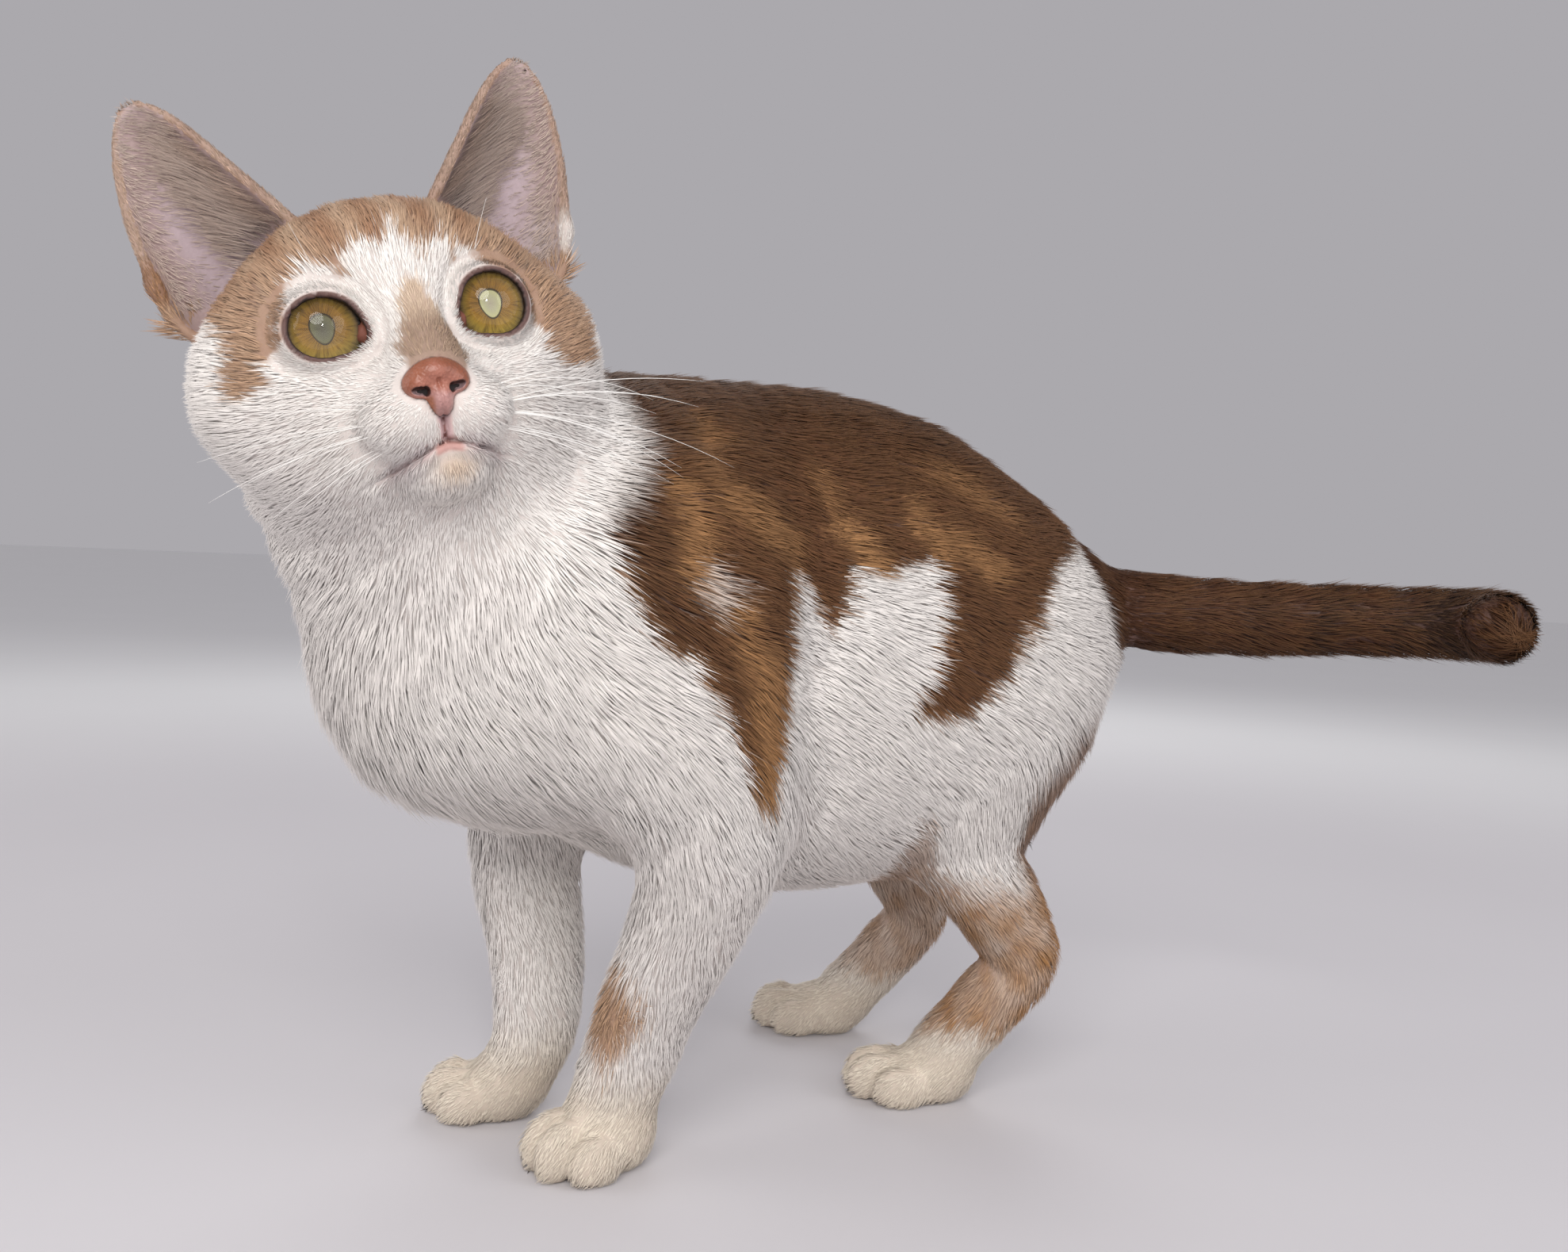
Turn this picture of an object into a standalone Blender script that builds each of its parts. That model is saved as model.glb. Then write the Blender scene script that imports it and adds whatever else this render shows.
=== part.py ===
"""A still, life-size model of a young shorthair cat, standing with its head turned to its left.

The cat faces -Y with its left side on +X, and +Z is up. The floor is z = 0 and the origin is the
middle of the model's footprint. Every table is in millimetres, in a frame whose origin lies on the
floor between the forelegs. The finished meshes are in metres.

The flesh is a field of distances. Ellipsoids and lofts flow into each other in it, and its zero
surface is meshed twice: fine round the head and coarser for the body. Both meshes are thinned, then
parted by region solids into the named pieces, which keep a gap of GAP to each other.
"""

from functools import partial
from itertools import product
from math import cos, pi, radians, sin, sqrt

import bmesh
import bpy
import numpy as np
from mathutils import Matrix, Vector

MM = 0.001
GAP = 0.32
SEAT = 0.45
FAR = 40.0
COARSE, BAND = 3, 5.5
UNTANGLE_ROUNDS, TINY = 4, 1e-4

# The middle of the model's footprint in the tables' frame.
FOOTPRINT_MIDDLE = (46.03, 72.01)

# The head's frame: x to the cat's left, y to the back of the head, z up, from between the eyes.
HEAD_ORIGIN = (39.7, -66.2, 211.9)
HEAD_TURN, HEAD_LIFT, HEAD_ROLL = 72.8, 1.6, -14.9

TRUNK = (
    # x, y, top, bottom, half width, how much wider below
    (-4, -38, 170, 100, 31, 0.05),
    (-3, -16, 192, 89, 43, 0.10),
    (-1, 14, 208, 82, 49, 0.14),
    (0, 48, 215, 70, 51, 0.16),
    (3, 84, 215, 64, 53, 0.16),
    (9, 118, 209, 69, 50, 0.14),
    (15, 146, 197, 88, 43, 0.10),
    (21, 164, 183, 110, 33, 0.05),
)
NECK = (
    # x, y, z, half width, half height
    (0, 14, 158, 45, 45),
    (-1, -24, 169, 43, 41),
    (0, -48, 182, 39, 35),
    (6, -60, 200, 34, 31),
)
FORELEG = {
    "left": (
        # x, y, z, half width, half depth
        (26, 16, 166, 17, 28),
        (38, 10, 132, 19, 27),
        (40, 21, 98, 18, 23.5),
        (33, 22, 72, 15.5, 18.5),
        (22, 18, 46, 13, 14.5),
        (15.5, 15, 26, 12, 13),
        (13, 12, 13, 11.5, 12),
    ),
    "right": (
        (-26, 16, 166, 17, 28),
        (-38, 8, 132, 19, 27),
        (-40, 16, 98, 17.5, 23),
        (-37, 13, 72, 15, 18),
        (-29, 13, 46, 12.5, 14.5),
        (-25, 11, 26, 11.3, 12.5),
        (-27, 7, 13, 11, 11.5),
    ),
}
HINDLEG = {
    "left": (
        (30, 146, 150, 19, 33),
        (34, 136, 122, 21, 34),
        (34, 126, 98, 19, 29),
        (36, 123, 80, 16, 21),
        (42, 132, 62, 13, 16),
        (45, 139, 46, 11.6, 12.7),
        (39, 132, 30, 11, 11),
        (31, 124, 15, 11.2, 10.5),
    ),
    "right": (
        (-8, 158, 150, 17, 32),
        (-18, 146, 122, 20, 31),
        (-22, 137, 98, 18, 25),
        (-21, 137, 80, 15, 18.5),
        (-16, 147, 62, 12.3, 14.5),
        (-13, 153, 46, 11, 12),
        (-21, 147, 29, 10.5, 10.5),
        (-30, 140, 15, 10.8, 10.2),
    ),
}
PAWS = {
    # x, y of the sole's middle, heading in degrees from -Y towards +X, length, width, height
    "forepaw_left": (13, 6, -4, 36, 30, 20),
    "forepaw_right": (-35, 0, -42, 33, 28, 18.5),
    "hindpaw_left": (24, 115, -36, 39, 28, 19),
    "hindpaw_right": (-41, 130, -46, 38, 27, 19),
}
TOES = ((-0.36, 0.10, 0.86), (-0.125, 0.25, 1.0), (0.125, 0.25, 1.0), (0.36, 0.10, 0.86))
SOLE_SINK = 1.6
TAIL = (
    # x, y, z, half thickness
    (16, 156, 157, 17),
    (30, 178, 154, 15.3),
    (48, 201, 152, 14.2),
    (70, 222, 152, 13.3),
    (93, 238, 153, 12.7),
    (114, 246, 154, 12.3),
    (132, 243, 154.5, 12.2),
    (142, 230, 154.5, 11.8),
)
TAIL_CUTS = (
    # piece, share of the tail's length before it, radius of the barrel that takes it off
    ("tail_base", 0.19, 20),
    ("tail_middle", 0.47, 24),
    ("tail_tip", 0.75, 40),
)

# Ovals that part the limbs: elbows and knees seen from above, shoulders and haunches from the side.
ELBOW = {"left": ((26, 20), (27, 27)), "right": ((-33, 14), (22, 26))}
KNEE = {"left": ((42, 132), (23, 34)), "right": ((-23, 143), (22, 33))}
SHOULDER = {"left": (12, 116), "right": (10, 116)}
SHOULDER_OVAL = (-12, (27, 52))
HAUNCH = {"left": (142, 116), "right": (150, 116)}
HAUNCH_OVAL = (22, (36, 47))
HAUNCH_DEPTH = {"left": 14, "right": -4}
MUSCLES = (
    # middle, radii, blend: shoulders, haunches, breast
    ((33, 0, 142), (20, 34, 40), 20),
    ((-33, 0, 142), (20, 34, 40), 20),
    ((-3, -28, 130), (33, 29, 30), 20),
)

# Head: middle, radii and blend of each ellipsoid. Those off the middle plane stand on both sides.
HEAD_BALLS = (
    ((0, 29, 2), (36, 28, 28.5), 0),
    ((0, 17, 9), (24, 16, 15), 10),
    ((26, 24, -10), (20.5, 19, 19), 14),
    ((14, 16, -25), (17, 17, 14), 12),
    ((15, 13.5, 9.5), (12, 9, 8), 6),
    ((16, 11.5, -14), (12.5, 10.5, 9.5), 8),
    ((0, 3, -18), (13, 15, 11), 8),
    ((7.2, -5.5, -22.5), (9.0, 9.2, 7.6), 4),
    ((0, -2, -34), (9.5, 8.5, 6.5), 5),
)
BRIDGE = (
    # x, y, z, half width, half height
    (0, 12, 14, 11, 9),
    (0, 5, 3, 8.5, 7.5),
    (0, -3, -6, 7, 6.5),
    (0, -8.5, -12.5, 6.6, 5.5),
)
EYE = (17.6, 8.4, 0)
EYE_RADIUS = 9.4
CORNEA_RADIUS, CORNEA_FORWARD = 7.9, 2.2
EYE_OUTWARD, EYE_UPWARD = 11, 6
EYE_OPENING = 7.6
EYE_CORNER, CORNER_DROP = 2.4, 0.55
# What is kept clear before each eye: the middle and half the length of a post along the way it looks.
VIEW_MIDDLE, VIEW_HALF = 17, 15
LID_HALF_THICKNESS = 1.35
LID_DEPTH, LID_WALL = 6.3, 1.5
LID_FOLD_AWAY, LID_FOLD_WIDTH, LID_FOLD_DEPTH = 3.9, 1.5, 1.0

EAR_ROOT, EAR_TIP = (29, 30, 18), (44, 31, 58.5)
EAR_ACROSS = (28.0, 3.0, -24.0)
EAR_HALF_WIDTH, EAR_CUP = 17.5, 12.5
EAR_TAPER, EAR_BOW = 0.52, 1.2
EAR_THICKNESS, EAR_TIP_THICKNESS = 3.0, 2.2
EAR_FOOT, EAR_ROOT_BLEND = 16.0, 1.2

NOSE = (0, -14.4, -16.2)
JAW_BALL = ((0, 3, -44), (20, 24, 18))
MOUTH = ((0, -27.6), (3, -28.4), (7.5, -30.4), (13, -32.6), (19, -33.5))

HEAD_GRID, BODY_GRID, EAR_GRID, NOSE_GRID = 0.9, 2.2, 0.9, 0.45
SHARP_ANGLE = 42
TRIANGLES = {"head": 5400, "body": 6200, "ear": 800, "nose": 440}

# Colour and roughness by the first word of a piece's name.
COAT_WHITE = ((0.86, 0.84, 0.81, 1), 0.9)
COAT_CREAM = ((0.78, 0.72, 0.64, 1), 0.9)
COAT_GINGER = ((0.20, 0.10, 0.05, 1), 0.9)
FINISHES = {
    "eye": ((0.32, 0.17, 0.03, 1), 0.08),
    "nose": ((0.48, 0.17, 0.11, 1), 0.45),
    "ear": COAT_GINGER,
    "tail": COAT_GINGER,
    "forepaw": COAT_CREAM,
    "hindpaw": COAT_CREAM,
}


# Shapes: each is the corners of a box round it and a function from points to distances


def unit(v):
    return v / np.linalg.norm(v)


def turned(angle, axis):
    return np.array(Matrix.Rotation(radians(angle), 3, axis))


def curve_through(rows, steps):
    """Catmull-Rom rows through the given rows, with steps between each two."""
    rows = np.array(rows, float)
    ends = np.vstack([2 * rows[0] - rows[1], rows, 2 * rows[-1] - rows[-2]])
    found = []
    for i in range(len(rows) - 1):
        a, b, c, d = ends[i : i + 4]
        for t in np.linspace(0, 1, steps, endpoint=False):
            bend = (2 * a - 5 * b + 4 * c - d) * t * t + (3 * b - a - 3 * c + d) * t**3
            found.append(0.5 * (2 * b + (c - a) * t + bend))
    found.append(rows[-1])
    return np.array(found)


def smooth_min(a, b, blend):
    if blend <= 0:
        return np.minimum(a, b)
    near = np.clip(blend - np.abs(a - b), 0, None) / blend
    return np.minimum(a, b) - near * near * blend / 4


def smooth_max(a, b, blend):
    return -smooth_min(-a, -b, blend)


def scaled_distance(local, radii):
    """Roughly the distance to an ellipsoid whose axes are those of local."""
    k0 = np.sqrt(((local / radii) ** 2).sum(-1))
    k1 = np.sqrt(((local / np.square(radii)) ** 2).sum(-1))
    return k0 * (k0 - 1) / np.maximum(k1, 1e-6)


def ellipsoid(middle, radii, turn=None):
    middle, radii = np.array(middle, float), np.array(radii, float)
    reach = radii.max()

    def distance(points):
        local = points - middle
        return scaled_distance(local if turn is None else local @ turn, radii)

    return middle - reach, middle + reach, distance


def loft(rows, up=(0, 0, 1), eggs=None, steps=4):
    """A tube of ellipses with rounded ends: rows of x, y, z, half width, half height."""
    eggs = [0] * len(rows) if eggs is None else eggs
    rows = curve_through([[*row, egg] for row, egg in zip(rows, eggs)], steps)
    reach = rows[:, 3:5].max()

    def distance(points):
        nearest = np.full(points.shape[:-1], FAR * 4, np.float32)
        for start, end in zip(rows[:-1], rows[1:]):
            step = end[:3] - start[:3]
            away = points - start[:3]
            share = np.clip(away @ step / (step @ step), 0, 1)
            along = unit(step)
            side = unit(np.cross(along, up))
            top = np.cross(side, along)
            away = away - share[..., None] * step
            size = start[3:6] + share[..., None] * (end[3:6] - start[3:6])
            across, rise, ahead = away @ side, away @ top, away @ along
            wide = size[..., 0] * (1 - size[..., 2] * np.clip(rise / size[..., 1], -1, 1))
            cap = np.minimum(size[..., 0], size[..., 1]) * 0.8
            local = np.stack([across, rise, ahead], -1)
            radii = np.stack([wide, size[..., 1], cap], -1)
            nearest = np.minimum(nearest, scaled_distance(local, radii))
        return nearest

    return rows[:, :3].min(0) - reach, rows[:, :3].max(0) + reach, distance


def together(shapes):
    """One function of points from shapes with their blends, each of which flows into those before."""

    def distance(points):
        value = np.full(len(points), FAR)
        for (low, high, own), blend in shapes:
            near = np.all((points > low - blend - 4) & (points < high + blend + 4), axis=-1)
            if near.any():
                value[near] = smooth_min(value[near], own(points[near]), blend)
        return value

    return distance


class Field:
    """A distance sampled on a grid, exactly near the surface and roughly elsewhere."""

    def __init__(self, low, high, spacing, distance):
        counts = [int((b - a) / spacing / COARSE) + 2 for a, b in zip(low, high)]
        coarse = [a + np.arange(n) * spacing * COARSE for a, n in zip(low, counts)]
        self.axes = [a + np.arange((n - 1) * COARSE + 1) * spacing for a, n in zip(low, counts)]
        rough = distance(self.points(coarse).reshape(-1, 3)).reshape(counts)
        picks = [np.round(np.arange(len(axis)) / COARSE).astype(int) for axis in self.axes]
        self.value = rough[np.ix_(*picks)]
        band = np.abs(self.value) < BAND * spacing
        self.value[band] = distance(self.points(self.axes)[band])
        for axis, end in product(range(3), (0, -1)):
            border = self.value.swapaxes(0, axis)[end]
            border[border < 0] = spacing

    def points(self, axes):
        return np.stack(np.meshgrid(*axes, indexing="ij"), -1)


def untangle(value):
    """Turns the weakest corner of each grid face whose corners alternate, where the surface would touch itself."""
    for one, two in ((0, 1), (0, 2), (1, 2)) * UNTANGLE_ROUNDS:
        steps = np.zeros((4, 3), int)
        steps[[1, 3], one] = 1
        steps[[2, 3], two] = 1
        inside = value < 0
        trimmed = [slice(0, -1) if axis in (one, two) else slice(None) for axis in range(3)]
        here, right, up, across = (np.roll(inside, tuple(-step), (0, 1, 2))[tuple(trimmed)] for step in steps)
        spots = np.argwhere((here == across) & (right == up) & (here != right))
        strength = [np.abs(value[tuple((spots + step).T)]) for step in steps]
        weakest = tuple((spots + steps[np.argmin(strength, axis=0)]).T)
        value[weakest] = np.where(value[weakest] < 0, -value[weakest], -value[weakest] - TINY)


def surface_net(field):
    """Points and outward quads of the field's zero surface."""
    value = field.value
    untangle(value)
    inside = value < 0
    spans = [(slice(0, -1), slice(1, None))] * 3
    corners = [inside[spans[0][i], spans[1][j], spans[2][k]] for i, j, k in product((0, 1), repeat=3)]
    count = sum(corner.astype(np.uint8) for corner in corners)
    active = (count > 0) & (count < 8)
    cells = np.argwhere(active)
    index = np.full(active.shape, -1, np.int64)
    index[active] = np.arange(len(cells))
    total, hits = np.zeros((len(cells), 3)), np.zeros(len(cells))
    for axis in range(3):
        others = [a for a in range(3) if a != axis]
        for i, j in product((0, 1), repeat=2):
            start = cells.copy()
            start[:, others[0]] += i
            start[:, others[1]] += j
            end = start.copy()
            end[:, axis] += 1
            a, b = value[tuple(start.T)], value[tuple(end.T)]
            crossed = (a < 0) != (b < 0)
            spot = start[crossed].astype(float)
            spot[:, axis] += a[crossed] / (a[crossed] - b[crossed])
            total[crossed] += spot
            hits[crossed] += 1
    middle = total / hits[:, None]
    places = [np.interp(middle[:, a], np.arange(len(field.axes[a])), field.axes[a]) for a in range(3)]
    quads = []
    for axis in range(3):
        first = np.take(inside, np.arange(inside.shape[axis] - 1), axis)
        second = np.take(inside, np.arange(1, inside.shape[axis]), axis)
        edges = np.argwhere(first != second)
        one, two = [a for a in range(3) if a != axis]
        rim = (edges[:, one] > 0) & (edges[:, two] > 0)
        rim &= (edges[:, one] < inside.shape[one] - 1) & (edges[:, two] < inside.shape[two] - 1)
        edges = edges[rim]
        ring = []
        for i, j in ((1, 1), (0, 1), (0, 0), (1, 0)):
            cell = edges.copy()
            cell[:, one] -= i
            cell[:, two] -= j
            ring.append(index[tuple(cell.T)])
        ring = np.stack(ring, -1)
        outward = first[tuple(edges.T)] == (axis != 1)
        quads.append(np.where(outward[:, None], ring, ring[:, ::-1]))
    return np.stack(places, -1), np.concatenate(quads)


# Meshes


def clear_scene():
    for obj in list(bpy.data.objects):
        bpy.data.objects.remove(obj)


def linked(name, mesh):
    obj = bpy.data.objects.new(name, mesh)
    bpy.context.scene.collection.objects.link(obj)
    return obj


def mesh_object(name, points, faces):
    """A linked object from points in millimetres, its faces turned outward."""
    mesh = bpy.data.meshes.new(name)
    mesh.from_pydata(np.asarray(points, float) * MM, [], [tuple(map(int, face)) for face in faces])
    shape = bmesh.new()
    shape.from_mesh(mesh)
    bmesh.ops.recalc_face_normals(shape, faces=shape.faces)
    shape.to_mesh(mesh)
    shape.free()
    return linked(name, mesh)


def settle(obj):
    """Makes the object's modifiers permanent."""
    graph = bpy.context.evaluated_depsgraph_get()
    mesh = bpy.data.meshes.new_from_object(obj.evaluated_get(graph))
    obj.modifiers.clear()
    obj.data = mesh
    return obj


def thinned(obj, triangles):
    """Brings the object down to about that many triangles."""
    obj.data.calc_loop_triangles()
    now = len(obj.data.loop_triangles)
    if now > triangles:
        decimate = obj.modifiers.new("thin", "DECIMATE")
        decimate.ratio = triangles / now
        settle(obj)
    return obj


def largest(obj):
    """Keeps the object's largest closed surface, in triangles."""
    shape = bmesh.new()
    shape.from_mesh(obj.data)
    seen, groups = set(), []
    for vert in shape.verts:
        if vert in seen:
            continue
        group, front = [], [vert]
        seen.add(vert)
        while front:
            here = front.pop()
            group.append(here)
            for edge in here.link_edges:
                other = edge.other_vert(here)
                if other not in seen:
                    seen.add(other)
                    front.append(other)
        groups.append(group)
    groups.sort(key=len)
    for group in groups[:-1]:
        bmesh.ops.delete(shape, geom=group, context="VERTS")
    bmesh.ops.triangulate(shape, faces=shape.faces)
    shape.to_mesh(obj.data)
    shape.free()
    return obj


def boolean(obj, other, operation):
    cut = obj.modifiers.new("cut", "BOOLEAN")
    cut.operation = operation
    cut.object = other
    cut.solver = "EXACT"
    return settle(obj)


def grown(obj, by):
    """A copy of the object, each of whose faces lies by millimetres further out."""
    copy = linked(obj.name + "_grown", obj.data.copy())
    shape = bmesh.new()
    shape.from_mesh(copy.data)
    shape.normal_update()
    moves = [vert.normal * vert.calc_shell_factor() * by * MM for vert in shape.verts]
    for vert, move in zip(shape.verts, moves):
        vert.co += move
    shape.to_mesh(copy.data)
    shape.free()
    return copy


def part_off(whole, name, region):
    """Takes the stretch of whole inside region off as a new object, with a gap of GAP around it."""
    piece = linked(name, whole.data.copy())
    boolean(piece, region, "INTERSECT")
    wider = grown(region, GAP)
    boolean(whole, wider, "DIFFERENCE")
    for helper in (wider, region):
        bpy.data.objects.remove(helper)
    return largest(piece)


def box(low, high, matrix=None):
    """A closed box between two corners in millimetres."""
    points = list(product(*zip(low, high)))
    faces = [(0, 1, 3, 2), (4, 6, 7, 5), (0, 4, 5, 1), (2, 3, 7, 6), (0, 2, 6, 4), (1, 5, 7, 3)]
    obj = mesh_object("box", points, faces)
    if matrix is not None:
        obj.data.transform(matrix)
    return obj


def slab(middle, axis, size, length):
    """A box that starts at middle and runs length along axis."""
    turn = Vector(axis).to_track_quat("Z", "Y").to_matrix().to_4x4()
    place = Matrix.Translation(Vector(middle) * MM) @ turn
    return box((-size, -size, 0), (size, size, length), place)


def ball(middle, radii, turn=None, segments=24, rings=14):
    """An ellipsoid's mesh, in millimetres."""
    shape = bmesh.new()
    bmesh.ops.create_uvsphere(shape, u_segments=segments, v_segments=rings, radius=1)
    place = Matrix.Translation(Vector(middle) * MM)
    if turn is not None:
        place = place @ Matrix(turn).to_4x4()
    place = place @ Matrix.Diagonal((*(Vector(radii) * MM), 1))
    bmesh.ops.transform(shape, matrix=place, verts=shape.verts)
    mesh = bpy.data.meshes.new("ball")
    shape.to_mesh(mesh)
    shape.free()
    return linked("ball", mesh)


# Head, in its own frame


def head_turn():
    return turned(HEAD_TURN, "Z") @ turned(-HEAD_LIFT, "X") @ turned(HEAD_ROLL, "Y")


def head_matrix():
    return Matrix.Translation(Vector(HEAD_ORIGIN) * MM) @ Matrix(head_turn()).to_4x4()


def eye_frame(side=1):
    """Columns are sideways, up and along the way that an eye looks."""
    out, up = radians(EYE_OUTWARD), radians(EYE_UPWARD)
    look = np.array((side * sin(out) * cos(up), -cos(out) * cos(up), sin(up)))
    level = unit(np.cross((0, 0, 1), look))
    return np.stack([level, np.cross(look, level), look], -1)


def eye_opening(along, up):
    """How far the lids' edge lies from the eye's axis, by direction, with the corner at the nose."""
    round_off = np.sqrt(along**2 + up**2) + 1e-6
    corner = np.clip((-along - CORNER_DROP * up) / (round_off * sqrt(1 + CORNER_DROP**2)), 0, 1)
    return EYE_OPENING + EYE_CORNER * corner**8, round_off


def both_sides(points):
    """The points with those of the right side moved to the left."""
    return points * np.where(points[..., :1] < 0, (-1, 1, 1), (1, 1, 1))


def with_lids(value, mirrored):
    """Adds the lids and the fold round them to the flesh."""
    local = (mirrored - np.array(EYE)) @ eye_frame()
    ahead = local[..., 2]
    opening, away = eye_opening(local[..., 0], local[..., 1])
    rim = np.sqrt((away - opening - LID_HALF_THICKNESS * 0.7) ** 2 + (ahead - LID_DEPTH) ** 2)
    value = smooth_min(value, rim - LID_HALF_THICKNESS, 1.2)
    fold = (away - opening - LID_FOLD_AWAY) / LID_FOLD_WIDTH
    value += LID_FOLD_DEPTH * np.exp(-(fold**2)) * np.clip(ahead / 3, 0, 1)
    globe = np.sqrt((local**2).sum(-1)) - EYE_RADIUS - SEAT
    return smooth_min(value, globe - LID_WALL, 1.5)


def cleared(value, points):
    """Clears each eye's socket, what lies before it between the lids, and the seat of the nose."""
    mirrored = both_sides(points)
    local = (mirrored - np.array(EYE)) @ eye_frame()
    ahead = local[..., 2]
    opening, away = eye_opening(local[..., 0], local[..., 1])
    view = np.maximum(away - opening, np.abs(ahead - VIEW_MIDDLE) - VIEW_HALF)
    value = np.maximum(smooth_max(value, -view, 0.7), EYE_RADIUS + SEAT - np.sqrt((local**2).sum(-1)))
    return smooth_max(value, SEAT - nose_block(points, mirrored), 0.8)


def head_distance(points):
    mirrored = both_sides(points)
    value = np.full(points.shape[:-1], FAR, np.float32)
    for middle, radii, blend in HEAD_BALLS:
        value = smooth_min(value, ellipsoid(middle, radii)[2](mirrored), blend)
    value = smooth_min(value, loft(BRIDGE)[2](points), 7)
    value = with_lids(value, mirrored)
    side, back, up = mirrored[..., 0], points[..., 1], points[..., 2]
    front = 1 / (1 + np.exp(np.clip(back - 2, -30, 30)))
    value += 1.2 * front * np.exp(-((side / 0.9) ** 2)) * np.exp(-(((up + 24.5) / 3.2) ** 2))
    lips = up - np.interp(side, *zip(*MOUTH))
    return value + 0.8 * front * np.exp(-((lips / 1.1) ** 2)) * (side < 17)


def head_shape():
    middle = np.array(HEAD_ORIGIN) + head_turn() @ (0, 20, -5)
    return middle - 62, middle + 62, lambda points: head_distance((points - HEAD_ORIGIN) @ head_turn())


def ear_distance(points, side, flesh):
    """Distance to one ear's shell, whose cup opens forward, clear of the flesh, in the head's frame."""
    root, tip = np.array(EAR_ROOT, float), np.array(EAR_TIP, float)
    rise = unit(tip - root)
    across = np.array(EAR_ACROSS)
    across = unit(across - rise * (across @ rise))
    out = np.cross(across, rise)
    out = out if out[1] < 0 else -out
    height = np.linalg.norm(tip - root)
    away = points * (side, 1, 1) - root
    share = away @ rise / height
    inner = np.clip(share, 0, 0.985)
    foot = np.sqrt(np.clip(1 - np.clip(-share * height / EAR_FOOT, 0, None) ** 2, 0.02, 1))
    half = EAR_HALF_WIDTH * (1 - inner) ** EAR_TAPER * foot
    cup = (EAR_CUP * (1 - inner) ** 0.85 + 0.6) * foot
    curve = (half**2 + cup**2) / (2 * cup)
    offset = away @ across - EAR_BOW * np.sin(pi * inner)
    depth = away @ out
    to_middle = curve - cup
    angle = np.arctan2(np.abs(offset), to_middle - depth)
    arc = np.abs(np.hypot(offset, depth - to_middle) - curve)
    edge = np.hypot(np.abs(offset) - half, depth)
    sheet = np.where(angle <= np.arctan2(half, to_middle), arc, edge)
    beyond = np.clip(share - 0.985, 0, None) + np.clip(-share - EAR_FOOT / height, 0, None)
    thickness = EAR_THICKNESS + (EAR_TIP_THICKNESS - EAR_THICKNESS) * inner
    shell = np.hypot(sheet, beyond * height) - thickness / 2
    return smooth_max(shell, SEAT - flesh(points @ head_turn().T + HEAD_ORIGIN), EAR_ROOT_BLEND)


def nose_block(points, mirrored):
    """The bare nose without its nostrils."""
    x, y, z = NOSE
    value = ellipsoid((0, y + 2.4, z + 2.4), (5.0, 4.4, 3.1))[2](points)
    value = smooth_min(value, ellipsoid((3.7, y + 3.2, z + 0.9), (3.2, 3.9, 3.3))[2](mirrored), 1.5)
    return smooth_min(value, ellipsoid((0, y + 2.3, z - 3.0), (2.5, 3.6, 4.0))[2](points), 1.8)


def nose_distance(points):
    mirrored = both_sides(points)
    x, y, z = NOSE
    nostril = ellipsoid((3.5, y + 0.3, z - 0.5), (1.6, 3.0, 0.95), turned(32, "Y"))[2](mirrored)
    value = smooth_max(nose_block(points, mirrored), -nostril, 0.5)
    return value + 0.5 * np.exp(-((points[..., 0] / 0.55) ** 2)) * (points[..., 2] < z + 0.5)


def eyeball(name, side):
    """An eyeball with its cornea, in one closed piece, in the head's frame."""
    middle = Vector((side * EYE[0], EYE[1], EYE[2]))
    frame = eye_frame(side)
    globe = ball(middle, [EYE_RADIUS] * 3, frame)
    cornea = ball(middle + Vector(frame[:, 2]) * CORNEA_FORWARD, [CORNEA_RADIUS] * 3, frame)
    boolean(globe, cornea, "UNION")
    bpy.data.objects.remove(cornea)
    globe.name = name
    return largest(globe)


# Body


def paw_shapes(name):
    x, y, heading, long, wide, high = PAWS[name]
    turn = turned(heading, "Z")

    def place(side, ahead, up):
        return np.array((x, y, -SOLE_SINK)) + turn @ (side, -ahead, up)

    pad = ellipsoid(place(0, -long * 0.14, high * 0.44), (wide * 0.42, long * 0.38, high * 0.54), turn)
    toes = [
        ellipsoid(
            place(side * wide, ahead * long, high * 0.38 * size + SOLE_SINK * 0.4),
            (wide * 0.165, long * 0.27 * size, high * 0.47 * size),
            turn,
        )
        for side, ahead, size in TOES
    ]
    return pad, toes


def cat_shapes():
    """What the cat's flesh is blended from, with the blends."""
    rows = [(x, y, (top + low) / 2, half, (top - low) / 2) for x, y, top, low, half, _ in TRUNK]
    shapes = [(loft(rows, eggs=[row[5] for row in TRUNK]), 0), (loft(NECK), 26)]
    shapes += [(ellipsoid(middle, radii), blend) for middle, radii, blend in MUSCLES]
    shapes.append((loft([(x, y, z, half, half) for x, y, z, half in TAIL]), 9))
    for side in ("left", "right"):
        for rows, foot in ((FORELEG[side], f"forepaw_{side}"), (HINDLEG[side], f"hindpaw_{side}")):
            pad, toes = paw_shapes(foot)
            shapes += [(loft(rows, up=(0, -1, 0)), 14), (pad, 6)]
            shapes += [(toe, 1.8) for toe in toes]
    shapes.append((head_shape(), 14))
    return shapes


def cat_distance():
    """The distance to the cat, but its ears, eyes and nose, as one function of points."""
    flesh = together(cat_shapes())

    def distance(points):
        return cleared(flesh(points), (points - HEAD_ORIGIN) @ head_turn())

    return distance


def meshed(name, low, high, spacing, distance, triangles):
    """The zero surface of a distance inside a box, thinned."""
    net = surface_net(Field(low, high, spacing, distance))
    return largest(thinned(mesh_object(name, *net), triangles))


def head_region():
    """A big box over the head, whose lower back face is where head and neck part."""
    place = head_matrix() @ Matrix.Translation(Vector((0, 38, -27)) * MM) @ Matrix.Rotation(radians(34), 4, "X")
    return box((-120, -160, 0), (120, 200, 190), place)


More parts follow.
